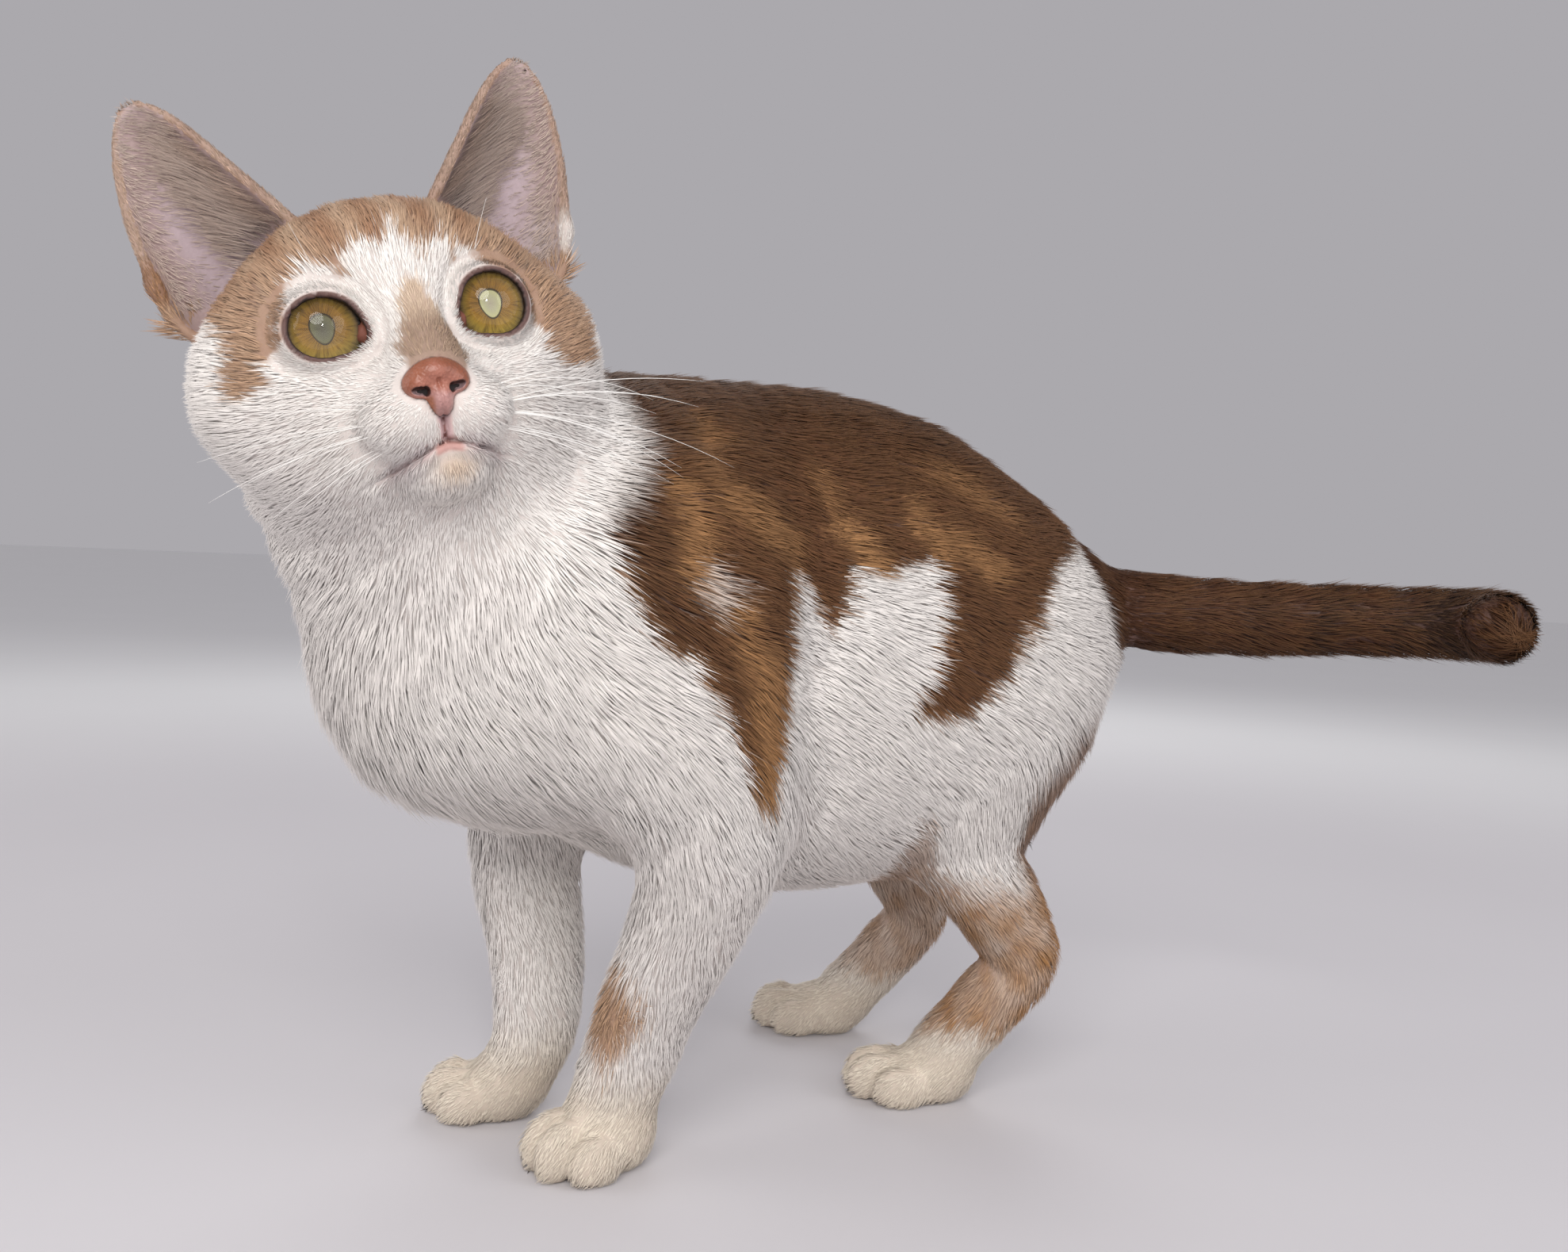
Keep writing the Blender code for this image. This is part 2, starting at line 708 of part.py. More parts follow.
def oval(radii, tilt=0, count=28):
    """Points round an oval that is tilted by degrees."""
    c, s = cos(radians(tilt)), sin(radians(tilt))
    round_it = [(radii[0] * cos(2 * pi * k / count), radii[1] * sin(2 * pi * k / count)) for k in range(count)]
    return [(c * a + s * b, c * b - s * a) for a, b in round_it]


def drum(points):
    """A closed drum from the points of its two ends."""
    count = len(points) // 2
    faces = [tuple(range(count)), tuple(range(count, 2 * count))]
    faces += [(k, (k + 1) % count, count + (k + 1) % count, count + k) for k in range(count)]
    return mesh_object("drum", points, faces)


def side_drum(middle, tilt, radii, side, depth):
    """A drum whose axis runs sideways from depth outward, which parts a limb's top from the trunk."""
    ring = [(middle[0] + y, middle[1] + z) for y, z in oval(radii, tilt)]
    return drum([(x, y, z) for x in (depth, side * 140) for y, z in ring])


def post(middle, radii, top):
    """An upright drum below top, which takes the lower part of a leg."""
    ring = [(middle[0] + x, middle[1] + y) for x, y in oval(radii)]
    return drum([(x, y, z) for z in (top, -60) for x, y in ring])


def barrel(middle, axis, radius, length, count=28):
    """A drum that starts at middle and runs length along axis."""
    along = unit(np.array(axis, float))
    side = unit(np.cross(along, (0, 0, 1)))
    top = np.cross(side, along)
    ring = [np.array(middle) + a * side + b * top for a, b in oval((radius, radius), count=count)]
    return drum([*ring, *(spot + along * length for spot in ring)])


def part_legs(body, made):
    """Takes the four legs off the body and parts each at its joints."""
    for word, side in (("left", 1), ("right", -1)):
        x, y, z, _, _ = FORELEG[word][5]
        wrist = slab((x, y - 6, z - 7), (0, 0, -1), 34, 60)
        elbow = post(*ELBOW[word], FORELEG[word][3][2] + 2)
        x, y, z, _, _ = HINDLEG[word][6]
        ankle = slab((x, y, z - 3), (-0.3, -0.45, -1), 30, 60)
        knee = post(*KNEE[word], HINDLEG[word][3][2] - 4)
        shoulder = side_drum(SHOULDER[word], *SHOULDER_OVAL, side, side * 15)
        haunch = side_drum(HAUNCH[word], *HAUNCH_OVAL, side, HAUNCH_DEPTH[word])
        for name, region in (
            ("forepaw", wrist),
            ("forearm", elbow),
            ("upper_arm", shoulder),
            ("hindpaw", ankle),
            ("shank", knee),
            ("thigh", haunch),
        ):
            made[f"{name}_{word}"] = part_off(body, f"{name}_{word}", region)


def part_tail(body, made):
    """Takes the tail off and parts it in three."""
    rows = curve_through(TAIL, 12)[:, :3]
    steps = np.linalg.norm(np.diff(rows, axis=0), axis=1)
    along = np.concatenate([[0], np.cumsum(steps)]) / steps.sum()
    for name, share, radius in reversed(TAIL_CUTS):
        i = int(np.searchsorted(along, share))
        made[name] = part_off(body, name, barrel(rows[i], rows[i + 1] - rows[i], radius, 120))


def jaw_region():
    """What lies under the line of the mouth, inside an ellipsoid, in the head's frame."""
    outline = [(-x, z) for x, z in MOUTH[:0:-1]] + [*MOUTH, (40, -34), (40, -70), (-40, -70), (-40, -34)]
    points = [(x, y, z) for y in (-50, 40) for x, z in outline]
    count = len(outline)
    faces = [tuple(range(count)), tuple(range(2 * count - 1, count - 1, -1))]
    faces += [(k, (k + 1) % count, count + (k + 1) % count, count + k) for k in range(count)]
    under = mesh_object("under", points, faces)
    region = ball(*JAW_BALL)
    boolean(region, under, "INTERSECT")
    bpy.data.objects.remove(under)
    return region


def build_head(made):
    matrix = head_matrix()
    low, high = np.array(HEAD_ORIGIN) - (85, 70, 75), np.array(HEAD_ORIGIN) + (45, 85, 60)
    flesh = cat_distance()
    head = meshed("head", low, high, HEAD_GRID, flesh, TRIANGLES["head"])
    region = head_region()
    boolean(head, region, "INTERSECT")
    bpy.data.objects.remove(region)
    head.data.transform(matrix.inverted())
    made["jaw"] = part_off(head, "jaw", jaw_region())
    made["head"] = largest(head)
    x, y, z = NOSE
    low, high = (-9, y - 4, z - 9), (9, y + 9, z + 8)
    made["nose"] = meshed("nose", low, high, NOSE_GRID, nose_distance, TRIANGLES["nose"])
    for side, word in ((1, "left"), (-1, "right")):
        made[f"eye_{word}"] = eyeball(f"eye_{word}", side)
        low, high = (min(2 * side, 66 * side), 8, -2), (max(2 * side, 66 * side), 54, 68)
        ear = partial(ear_distance, side=side, flesh=flesh)
        made[f"ear_{word}"] = meshed(f"ear_{word}", low, high, EAR_GRID, ear, TRIANGLES["ear"])
    for obj in made.values():
        obj.data.transform(matrix)


def build_body(made):
    low, high = (-72, -125, -8), (172, 275, 262)
    body = meshed("torso", low, high, BODY_GRID, cat_distance(), TRIANGLES["body"])
    region = head_region()
    for helper in (grown(region, GAP), box((-400, -400, -60), (400, 400, 0))):
        boolean(body, helper, "DIFFERENCE")
        bpy.data.objects.remove(helper)
    bpy.data.objects.remove(region)
    largest(body)
    part_legs(body, made)
    part_tail(body, made)
    made["neck"] = part_off(body, "neck", slab((1, -26, 172), (0.10, -0.62, 0.60), 90, 120))
    made["torso"] = largest(body)


def coloured(obj, colour, roughness):
    """Gives the object a material of its own."""
    material = bpy.data.materials.new(obj.name)
    material.use_nodes = True
    shader = material.node_tree.nodes["Principled BSDF"]
    shader.inputs["Base Color"].default_value = colour
    shader.inputs["Roughness"].default_value = roughness
    obj.data.materials.clear()
    obj.data.materials.append(material)


def finish(made):
    """Names, shades, colours and centres the pieces."""
    shift = Matrix.Translation(Vector((-FOOTPRINT_MIDDLE[0], -FOOTPRINT_MIDDLE[1], 0)) * MM)
    for name, obj in made.items():
        obj.name = name
        obj.data.name = name
        obj.data.transform(shift)
        obj.data.shade_smooth()
        obj.data.set_sharp_from_angle(angle=radians(SHARP_ANGLE))
        coloured(obj, *FINISHES.get(name.split("_")[0], COAT_WHITE))


def main():
    clear_scene()
    made = {}
    build_head(made)
    build_body(made)
    finish(made)


main()
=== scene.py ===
from itertools import product
from math import cos, pi, radians, sin, sqrt

import bmesh
import bpy
import numpy as np
from mathutils import Matrix, Vector


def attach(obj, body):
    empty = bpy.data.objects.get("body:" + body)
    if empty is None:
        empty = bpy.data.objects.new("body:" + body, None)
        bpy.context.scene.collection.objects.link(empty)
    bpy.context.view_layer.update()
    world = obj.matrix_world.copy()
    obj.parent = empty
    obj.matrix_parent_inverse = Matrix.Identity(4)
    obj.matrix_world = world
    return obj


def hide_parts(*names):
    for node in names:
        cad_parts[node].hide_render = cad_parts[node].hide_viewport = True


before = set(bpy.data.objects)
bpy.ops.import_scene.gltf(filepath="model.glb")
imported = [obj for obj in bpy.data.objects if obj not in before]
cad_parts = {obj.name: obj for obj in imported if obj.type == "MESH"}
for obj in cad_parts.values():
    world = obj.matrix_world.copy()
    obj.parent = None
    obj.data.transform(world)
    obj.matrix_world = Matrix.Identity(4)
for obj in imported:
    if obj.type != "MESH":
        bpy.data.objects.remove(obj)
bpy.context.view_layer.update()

MM = 0.001
# The distance where no shape is near.
FAR = 40.0
# The gap between an eyeball and its socket, and the height that the skin's soles are cut at.
SEAT, SOLE = 0.12, 0.15
# How softly the lowest balls of the head join the rest.
CHIN_BLEND = 9
# The lids' opening against the solid's, for the right eye and the left: toward the temple, up, and the size.
OPENING_SHIFT = np.array(((-1.4, -1.0), (-0.6, -0.9)))
OPENING_SCALE = np.array(((0.95, 0.83), (0.95, 0.89)))
# How much of the solid's corner at the nose the opening keeps, and how thick the lids' skin is.
CORNER_SHARE = 0.7
SKIN_LID_WALL = 2.2
# The fleshy grain in that corner, in the eye's frame.
CARUNCLE_PLACE, CARUNCLE_RADII = np.array((-7.9, -1.9, 4.2)), np.array((2.6, 2.4, 2.4))
# Steps of the fine grid in one of the rough grid, and how many steps from the surface are worked out exactly.
COARSE, BAND = 3, 5.0
UNTANGLE_ROUNDS, TINY = 4, 1e-4

# The middle of the model's footprint in the tables' frame.
FOOTPRINT_MIDDLE = (46.03, 72.01)

# The head's frame: x to the cat's left, y to the back of the head, z up, from between the eyes.
HEAD_ORIGIN = (39.7, -66.2, 211.9)
HEAD_TURN, HEAD_LIFT, HEAD_ROLL = 72.8, 1.6, -14.9

TRUNK = (
    # x, y, top, bottom, half width, how much wider below
    (-4, -38, 170, 100, 31, 0.05),
    (-3, -16, 192, 89, 43, 0.10),
    (-1, 14, 208, 82, 49, 0.14),
    (0, 48, 215, 70, 51, 0.16),
    (3, 84, 215, 64, 53, 0.16),
    (9, 118, 209, 69, 50, 0.14),
    (15, 146, 197, 88, 43, 0.10),
    (21, 164, 183, 110, 33, 0.05),
)
NECK = (
    # x, y, z, half width, half height
    (0, 14, 158, 45, 45),
    (-1, -24, 169, 43, 41),
    (0, -48, 182, 39, 35),
    (6, -60, 200, 34, 31),
)
FORELEG = {
    "left": (
        # x, y, z, half width, half depth
        (26, 16, 166, 17, 28),
        (38, 10, 132, 19, 27),
        (40, 21, 98, 18, 23.5),
        (33, 22, 72, 15.5, 18.5),
        (22, 18, 46, 13, 14.5),
        (15.5, 15, 26, 12, 13),
        (13, 12, 13, 11.5, 12),
    ),
    "right": (
        (-26, 16, 166, 17, 28),
        (-38, 8, 132, 19, 27),
        (-40, 16, 98, 17.5, 23),
        (-37, 13, 72, 15, 18),
        (-29, 13, 46, 12.5, 14.5),
        (-25, 11, 26, 11.3, 12.5),
        (-27, 7, 13, 11, 11.5),
    ),
}
HINDLEG = {
    "left": (
        (30, 146, 150, 19, 33),
        (34, 136, 122, 21, 34),
        (34, 126, 98, 19, 29),
        (36, 123, 80, 16, 21),
        (42, 132, 62, 13, 16),
        (45, 139, 46, 11.6, 12.7),
        (39, 132, 30, 11, 11),
        (31, 124, 15, 11.2, 10.5),
    ),
    "right": (
        (-8, 158, 150, 17, 32),
        (-18, 146, 122, 20, 31),
        (-22, 137, 98, 18, 25),
        (-21, 137, 80, 15, 18.5),
        (-16, 147, 62, 12.3, 14.5),
        (-13, 153, 46, 11, 12),
        (-21, 147, 29, 10.5, 10.5),
        (-30, 140, 15, 10.8, 10.2),
    ),
}
PAWS = {
    # x, y of the sole's middle, heading in degrees from -Y towards +X, length, width, height
    "forepaw_left": (13, 6, -4, 36, 30, 20),
    "forepaw_right": (-35, 0, -42, 33, 28, 18.5),
    "hindpaw_left": (24, 115, -36, 39, 28, 19),
    "hindpaw_right": (-41, 130, -46, 38, 27, 19),
}
TOES = ((-0.36, 0.10, 0.86), (-0.125, 0.25, 1.0), (0.125, 0.25, 1.0), (0.36, 0.10, 0.86))
SOLE_SINK = 1.6
TAIL = (
    # x, y, z, half thickness
    (16, 156, 157, 17),
    (30, 178, 154, 15.3),
    (48, 201, 152, 14.2),
    (70, 222, 152, 13.3),
    (93, 238, 153, 12.7),
    (114, 246, 154, 12.3),
    (132, 243, 154.5, 12.2),
    (142, 230, 154.5, 11.8),
)

MUSCLES = (
    # middle, radii, blend: shoulders, haunches, breast
    ((33, 0, 142), (20, 34, 40), 20),
    ((-33, 0, 142), (20, 34, 40), 20),
    ((-3, -28, 130), (33, 29, 30), 20),
)

# Head: middle, radii and blend of each ellipsoid. Those off the middle plane stand on both sides.
HEAD_BALLS = (
    ((0, 29, 2), (36, 28, 28.5), 0),
    ((0, 17, 9), (24, 16, 15), 10),
    ((26, 24, -10), (20.5, 19, 19), 14),
    ((14, 16, -25), (17, 17, 14), 12),
    ((15, 13.5, 9.5), (12, 9, 8), 6),
    ((16, 11.5, -14), (12.5, 10.5, 9.5), 8),
    ((0, 3, -18), (13, 15, 11), 8),
    ((7.2, -5.5, -22.5), (9.0, 9.2, 7.6), 4),
    ((0, -2, -34), (9.5, 8.5, 6.5), 5),
)
BRIDGE = (
    # x, y, z, half width, half height
    (0, 12, 14, 11, 9),
    (0, 5, 3, 8.5, 7.5),
    (0, -3, -6, 7, 6.5),
    (0, -8.5, -12.5, 6.6, 5.5),
)
EYE = (17.6, 8.4, 0)
EYE_RADIUS = 9.4
CORNEA_RADIUS, CORNEA_FORWARD = 7.9, 2.2
EYE_OUTWARD, EYE_UPWARD = 11, 6
EYE_OPENING = 7.6
EYE_CORNER, CORNER_DROP = 2.4, 0.55
# What is kept clear before each eye: the middle and half the length of a post along the way it looks.
VIEW_MIDDLE, VIEW_HALF = 17, 15
LID_HALF_THICKNESS = 1.35
LID_FOLD_AWAY, LID_FOLD_WIDTH, LID_FOLD_DEPTH = 3.9, 1.5, 1.0

EAR_ROOT, EAR_TIP = (29, 30, 18), (44, 31, 58.5)
EAR_ACROSS = (28.0, 3.0, -24.0)
EAR_HALF_WIDTH, EAR_CUP = 17.5, 12.5
EAR_TAPER, EAR_BOW = 0.52, 1.2
EAR_THICKNESS, EAR_TIP_THICKNESS = 3.0, 2.2
# How far an ear goes on below its root, how softly it joins the head and how deep its skin lies in the solid's.
EAR_FOOT, EAR_BLEND, EAR_THINNED = 16.0, 2.6, 0.12

NOSE = (0, -14.4, -16.2)
MOUTH = ((0, -27.6), (3, -28.4), (7.5, -30.4), (13, -32.6), (19, -33.5))


def unit(v):
    return v / np.linalg.norm(v)


def turned(angle, axis):
    return np.array(Matrix.Rotation(radians(angle), 3, axis))


def curve_through(rows, steps):
    """Catmull-Rom rows through the given rows, with steps between each two."""
    rows = np.array(rows, float)
    ends = np.vstack([2 * rows[0] - rows[1], rows, 2 * rows[-1] - rows[-2]])
    found = []
    for i in range(len(rows) - 1):
        a, b, c, d = ends[i : i + 4]
        for t in np.linspace(0, 1, steps, endpoint=False):
            bend = (2 * a - 5 * b + 4 * c - d) * t * t + (3 * b - a - 3 * c + d) * t**3
            found.append(0.5 * (2 * b + (c - a) * t + bend))
    found.append(rows[-1])
    return np.array(found)


def smooth_min(a, b, blend):
    if blend <= 0:
        return np.minimum(a, b)
    near = np.clip(blend - np.abs(a - b), 0, None) / blend
    return np.minimum(a, b) - near * near * blend / 4


def smooth_max(a, b, blend):
    return -smooth_min(-a, -b, blend)


def scaled_distance(local, radii):
    """Roughly the distance to an ellipsoid whose axes are those of local."""
    k0 = np.sqrt(((local / radii) ** 2).sum(-1))
    k1 = np.sqrt(((local / np.square(radii)) ** 2).sum(-1))
    return k0 * (k0 - 1) / np.maximum(k1, 1e-6)


def ellipsoid(middle, radii, turn=None):
    middle, radii = np.array(middle, float), np.array(radii, float)
    reach = radii.max()

    def distance(points):
        local = points - middle
        return scaled_distance(local if turn is None else local @ turn, radii)

    return middle - reach, middle + reach, distance


def loft(rows, up=(0, 0, 1), eggs=None, steps=4):
    """A tube of ellipses with rounded ends: rows of x, y, z, half width, half height."""
    eggs = [0] * len(rows) if eggs is None else eggs
    rows = curve_through([[*row, egg] for row, egg in zip(rows, eggs)], steps)
    reach = rows[:, 3:5].max()

    def distance(points):
        nearest = np.full(points.shape[:-1], FAR * 4, np.float32)
        for start, end in zip(rows[:-1], rows[1:]):
            step = end[:3] - start[:3]
            away = points - start[:3]
            share = np.clip(away @ step / (step @ step), 0, 1)
            along = unit(step)
            side = unit(np.cross(along, up))
            top = np.cross(side, along)
            away = away - share[..., None] * step
            size = start[3:6] + share[..., None] * (end[3:6] - start[3:6])
            across, rise, ahead = away @ side, away @ top, away @ along
            wide = size[..., 0] * (1 - size[..., 2] * np.clip(rise / size[..., 1], -1, 1))
            cap = np.minimum(size[..., 0], size[..., 1]) * 0.8
            local = np.stack([across, rise, ahead], -1)
            radii = np.stack([wide, size[..., 1], cap], -1)
            nearest = np.minimum(nearest, scaled_distance(local, radii))
        return nearest

    return rows[:, :3].min(0) - reach, rows[:, :3].max(0) + reach, distance


def together(shapes):
    """One function of points from shapes with their blends, each of which flows into those before."""

    def distance(points):
        value = np.full(len(points), FAR)
        for (low, high, own), blend in shapes:
            near = np.all((points > low - blend - 4) & (points < high + blend + 4), axis=-1)
            if near.any():
                value[near] = smooth_min(value[near], own(points[near]), blend)
        return value

    return distance


def untangle(value):
    """Turns the weakest corner of each grid face whose corners alternate, as the surface would pinch there."""
    for one, two in ((0, 1), (0, 2), (1, 2)) * UNTANGLE_ROUNDS:
        steps = np.zeros((4, 3), int)
        steps[[1, 3], one] = 1
        steps[[2, 3], two] = 1
        inside = value < 0
        trimmed = [slice(0, -1) if axis in (one, two) else slice(None) for axis in range(3)]
        here, right, up, across = (np.roll(inside, tuple(-step), (0, 1, 2))[tuple(trimmed)] for step in steps)
        spots = np.argwhere((here == across) & (right == up) & (here != right))
        strength = [np.abs(value[tuple((spots + step).T)]) for step in steps]
        weakest = tuple((spots + steps[np.argmin(strength, axis=0)]).T)
        value[weakest] = np.where(value[weakest] < 0, -value[weakest], -value[weakest] - TINY)


def surface_net(axes, value):
    """Points and outward quads of the zero surface of a distance sampled on the axes."""
    untangle(value)
    inside = value < 0
    spans = (slice(0, -1), slice(1, None))
    corners = [inside[i, j, k] for i, j, k in product(spans, repeat=3)]
    count = sum(corner.astype(np.uint8) for corner in corners)
    active = (count > 0) & (count < 8)
    cells = np.argwhere(active)
    index = np.full(active.shape, -1, np.int64)
    index[active] = np.arange(len(cells))
    total, hits = np.zeros((len(cells), 3)), np.zeros(len(cells))
    for axis in range(3):
        others = [a for a in range(3) if a != axis]
        for i, j in product((0, 1), repeat=2):
            start = cells.copy()
            start[:, others] += (i, j)
            end = start.copy()
            end[:, axis] += 1
            a, b = value[tuple(start.T)], value[tuple(end.T)]
            crossed = (a < 0) != (b < 0)
            spot = start[crossed].astype(float)
            spot[:, axis] += a[crossed] / (a[crossed] - b[crossed])
            total[crossed] += spot
            hits[crossed] += 1
    middle = total / hits[:, None]
    places = [np.interp(middle[:, a], np.arange(len(axes[a])), axes[a]) for a in range(3)]
    quads = []
    for axis in range(3):
        first = np.take(inside, np.arange(inside.shape[axis] - 1), axis)
        second = np.take(inside, np.arange(1, inside.shape[axis]), axis)
        edges = np.argwhere(first != second)
        one, two = [a for a in range(3) if a != axis]
        rim = (edges[:, one] > 0) & (edges[:, two] > 0)
        rim &= (edges[:, one] < inside.shape[one] - 1) & (edges[:, two] < inside.shape[two] - 1)
        edges = edges[rim]
        ring = []
        for i, j in ((1, 1), (0, 1), (0, 0), (1, 0)):
            cell = edges.copy()
            cell[:, [one, two]] -= (i, j)
            ring.append(index[tuple(cell.T)])
        ring = np.stack(ring, -1)
        outward = first[tuple(edges.T)] == (axis != 1)
        quads.append(np.where(outward[:, None], ring, ring[:, ::-1]))
    return np.stack(places, -1), np.concatenate(quads)


# Places and forms


def head_turn():
    return turned(HEAD_TURN, "Z") @ turned(-HEAD_LIFT, "X") @ turned(HEAD_ROLL, "Y")


def frame_along(look):
    """Columns are sideways, up and along the given way."""
    level = unit(np.cross((0, 0, 1), look))
    return np.stack([level, np.cross(look, level), look], -1)


def eye_frame(side=1):
    """The frame along the way that an eye's socket looks."""
    out, up = radians(EYE_OUTWARD), radians(EYE_UPWARD)
    return frame_along(np.array((side * sin(out) * cos(up), -cos(out) * cos(up), sin(up))))


def eye_opening(along, up):
    """How far the lids' edge lies from the eye's axis, by direction, with the corner at the nose."""
    round_off = np.sqrt(along**2 + up**2) + 1e-6
    corner = np.clip((-along - CORNER_DROP * up) / (round_off * sqrt(1 + CORNER_DROP**2)), 0, 1)
    return EYE_OPENING + EYE_CORNER * corner**8, round_off


def both_sides(points):
    """The points with those of the right side moved to the left."""
    return points * np.where(points[..., :1] < 0, (-1, 1, 1), (1, 1, 1))


def paw_shapes(name):
    x, y, heading, long, wide, high = PAWS[name]
    turn = turned(heading, "Z")

    def place(side, ahead, up):
        return np.array((x, y, -SOLE_SINK)) + turn @ (side, -ahead, up)

    pad = ellipsoid(place(0, -long * 0.14, high * 0.44), (wide * 0.42, long * 0.38, high * 0.54), turn)
    toes = [
        ellipsoid(
            place(side * wide, ahead * long, high * 0.38 * size + SOLE_SINK * 0.4),
            (wide * 0.165, long * 0.27 * size, high * 0.47 * size),
            turn,
        )
        for side, ahead, size in TOES
    ]
    return pad, toes


def cat_shapes():
    """What the cat's flesh is blended from, with the blends."""
    rows = [(x, y, (top + low) / 2, half, (top - low) / 2) for x, y, top, low, half, _ in TRUNK]
    shapes = [(loft(rows, eggs=[row[5] for row in TRUNK]), 0), (loft(NECK), 26)]
    shapes += [(ellipsoid(middle, radii), soft) for middle, radii, soft in MUSCLES]
    shapes.append((loft([(x, y, z, half, half) for x, y, z, half in TAIL]), 9))
    for side in ("left", "right"):
        for rows, foot in ((FORELEG[side], f"forepaw_{side}"), (HINDLEG[side], f"hindpaw_{side}")):
            pad, toes = paw_shapes(foot)
            shapes += [(loft(rows, up=(0, -1, 0)), 14), (pad, 6)]
            shapes += [(toe, 1.8) for toe in toes]
    middle = ORIGIN + TURN @ (0, 20, -5)
    head = (middle - HEAD_REACH, middle + HEAD_REACH, lambda points: face_distance(in_head(points)))
    return [*shapes, (head, 14)]


# How the skin is meshed: a grid that is finest at the middle of the head and widens with distance.
GRID_STEP = 4.0
NEAR_SCALE, FAR_SCALE, NEAR_REACH, FAR_REACH = 0.265, 0.66, 270, 430
SPREAD = np.arange(0, 1600, 1.0)
EASE = np.clip((SPREAD - NEAR_REACH) / (FAR_REACH - NEAR_REACH), 0, 1)
SCALES = NEAR_SCALE + (FAR_SCALE - NEAR_SCALE) * EASE * EASE * (3 - 2 * EASE)
REACHES = np.concatenate([[0], np.cumsum(SCALES[:-1])])

SHIFT = np.array((*FOOTPRINT_MIDDLE, 0.0))
TURN = head_turn()
ORIGIN = np.array(HEAD_ORIGIN)
FOCUS = ORIGIN + TURN @ (0, 12, 4)
# The head's middle in its own frame, and half the width of the box that its flesh is worked out in.
HEAD_MIDDLE, HEAD_REACH = (0, 14, -4), 62
# The box that the skin is meshed in, and how near to the focus its points are moved onto the surface.
SKIN_LOW, SKIN_HIGH = np.array((-72.0, -125, -8)), np.array((172.0, 275, 290))
SETTLED_REACH = 95
SLOPE_STEP, LONGEST_MOVE = 0.15, 0.5


def smooth(value, low, high):
    """0 at low, 1 at high, with a soft start and end."""
    share = np.clip((value - low) / (high - low), 0, 1)
    return share * share * (3 - 2 * share)


def blend(a, b, share):
    share = np.asarray(share)[..., None]
    return a * (1 - share) + b * share


def bell(value, width, power=2):
    """1 at 0, falling off to both sides."""
    return np.exp(-((value / width) ** power))


def in_head(points):
    """Points of the tables' frame in the head's frame."""
    return (points - ORIGIN) @ TURN


def head_placed(points):
    """Points of the head's frame in the tables' frame."""
    return np.asarray(points, float) @ TURN.T + ORIGIN


def metres(points):
    """Points of the tables' frame, in millimetres, as the scene has them."""
    return (np.asarray(points, float) - SHIFT) * MM


def ball_distance(points, middle, radii, turn=None):
    return ellipsoid(middle, radii, turn)[2](points)


def above_lips(side, up):
    """How far above the line between the lips."""
    return up - np.interp(side, *zip(*MOUTH))


# Skin


def eye_place(local):
    """Sideways, up and ahead of the eye on the same side, and how far out and how wide the opening is."""
    place = (both_sides(local) - np.array(EYE)) @ eye_frame()
    left = (local[..., 0] >= 0).astype(int)
    scale = OPENING_SCALE[left]
    moved = (place[..., :2] - OPENING_SHIFT[left]) / scale
    opening, away = eye_opening(moved[..., 0], moved[..., 1])
    opening = EYE_OPENING + CORNER_SHARE * (opening - EYE_OPENING)
    return place, opening * scale.mean(-1), away * scale.mean(-1)


def caruncle_place(local, place):
    """Places about the fleshy grain in the corner of the eye, in units of its radii."""
    left = (local[..., 0] >= 0).astype(int)
    shift = np.concatenate([OPENING_SHIFT[left], np.zeros((*left.shape, 1))], -1)
    return (place - shift - CARUNCLE_PLACE) / CARUNCLE_RADII


def face_distance(points):
    """The head's flesh with its finer folds, in the head's frame."""
    mirrored = both_sides(points)
    value = np.full(points.shape[:-1], FAR)
    for middle, radii, soft in HEAD_BALLS:
        soft = CHIN_BLEND if middle[2] < -30 else soft
        value = smooth_min(value, ball_distance(mirrored, middle, radii), soft)
    value = smooth_min(value, loft(BRIDGE)[2](points), 7)
    place, opening, away = eye_place(points)
    ahead = place[..., 2]
    lid_ahead = 0.6 + np.sqrt(EYE_RADIUS**2 - np.clip(opening, 0, EYE_OPENING) ** 2)
    rim = np.sqrt((away - opening - LID_HALF_THICKNESS * 0.7) ** 2 + (ahead - lid_ahead) ** 2)
    value = smooth_min(value, rim - LID_HALF_THICKNESS, 1.2)
    fold = bell(away - opening - LID_FOLD_AWAY, LID_FOLD_WIDTH)
    value += LID_FOLD_DEPTH * fold * np.clip(ahead / 3, 0, 1)
    globe = np.sqrt((place**2).sum(-1)) - EYE_RADIUS - SEAT
    value = smooth_min(value, globe - SKIN_LID_WALL, 1.5)
    side, back, up = mirrored[..., 0], points[..., 1], points[..., 2]
    front = 1 / (1 + np.exp(np.clip(back - 2, -30, 30)))
    # The groove below the nose, the line between the lips, the lower lip and the furrow below the eye's corner.
    value += 1.3 * front * bell(side, 0.6) * bell(up + 24.0, 3.4, 4)
    lips = above_lips(side, up)
    value += 1.3 * front * bell(lips, 0.65) * smooth(side, 17, 14)
    value -= 0.5 * front * bell(lips + 1.6, 1.3) * smooth(side, 11, 7)
    furrow = np.abs(side - (7.5 - 0.12 * (up + 6)))
    value += 0.45 * front * bell(furrow, 0.9) * bell(up + 7, 4.0)
    return value


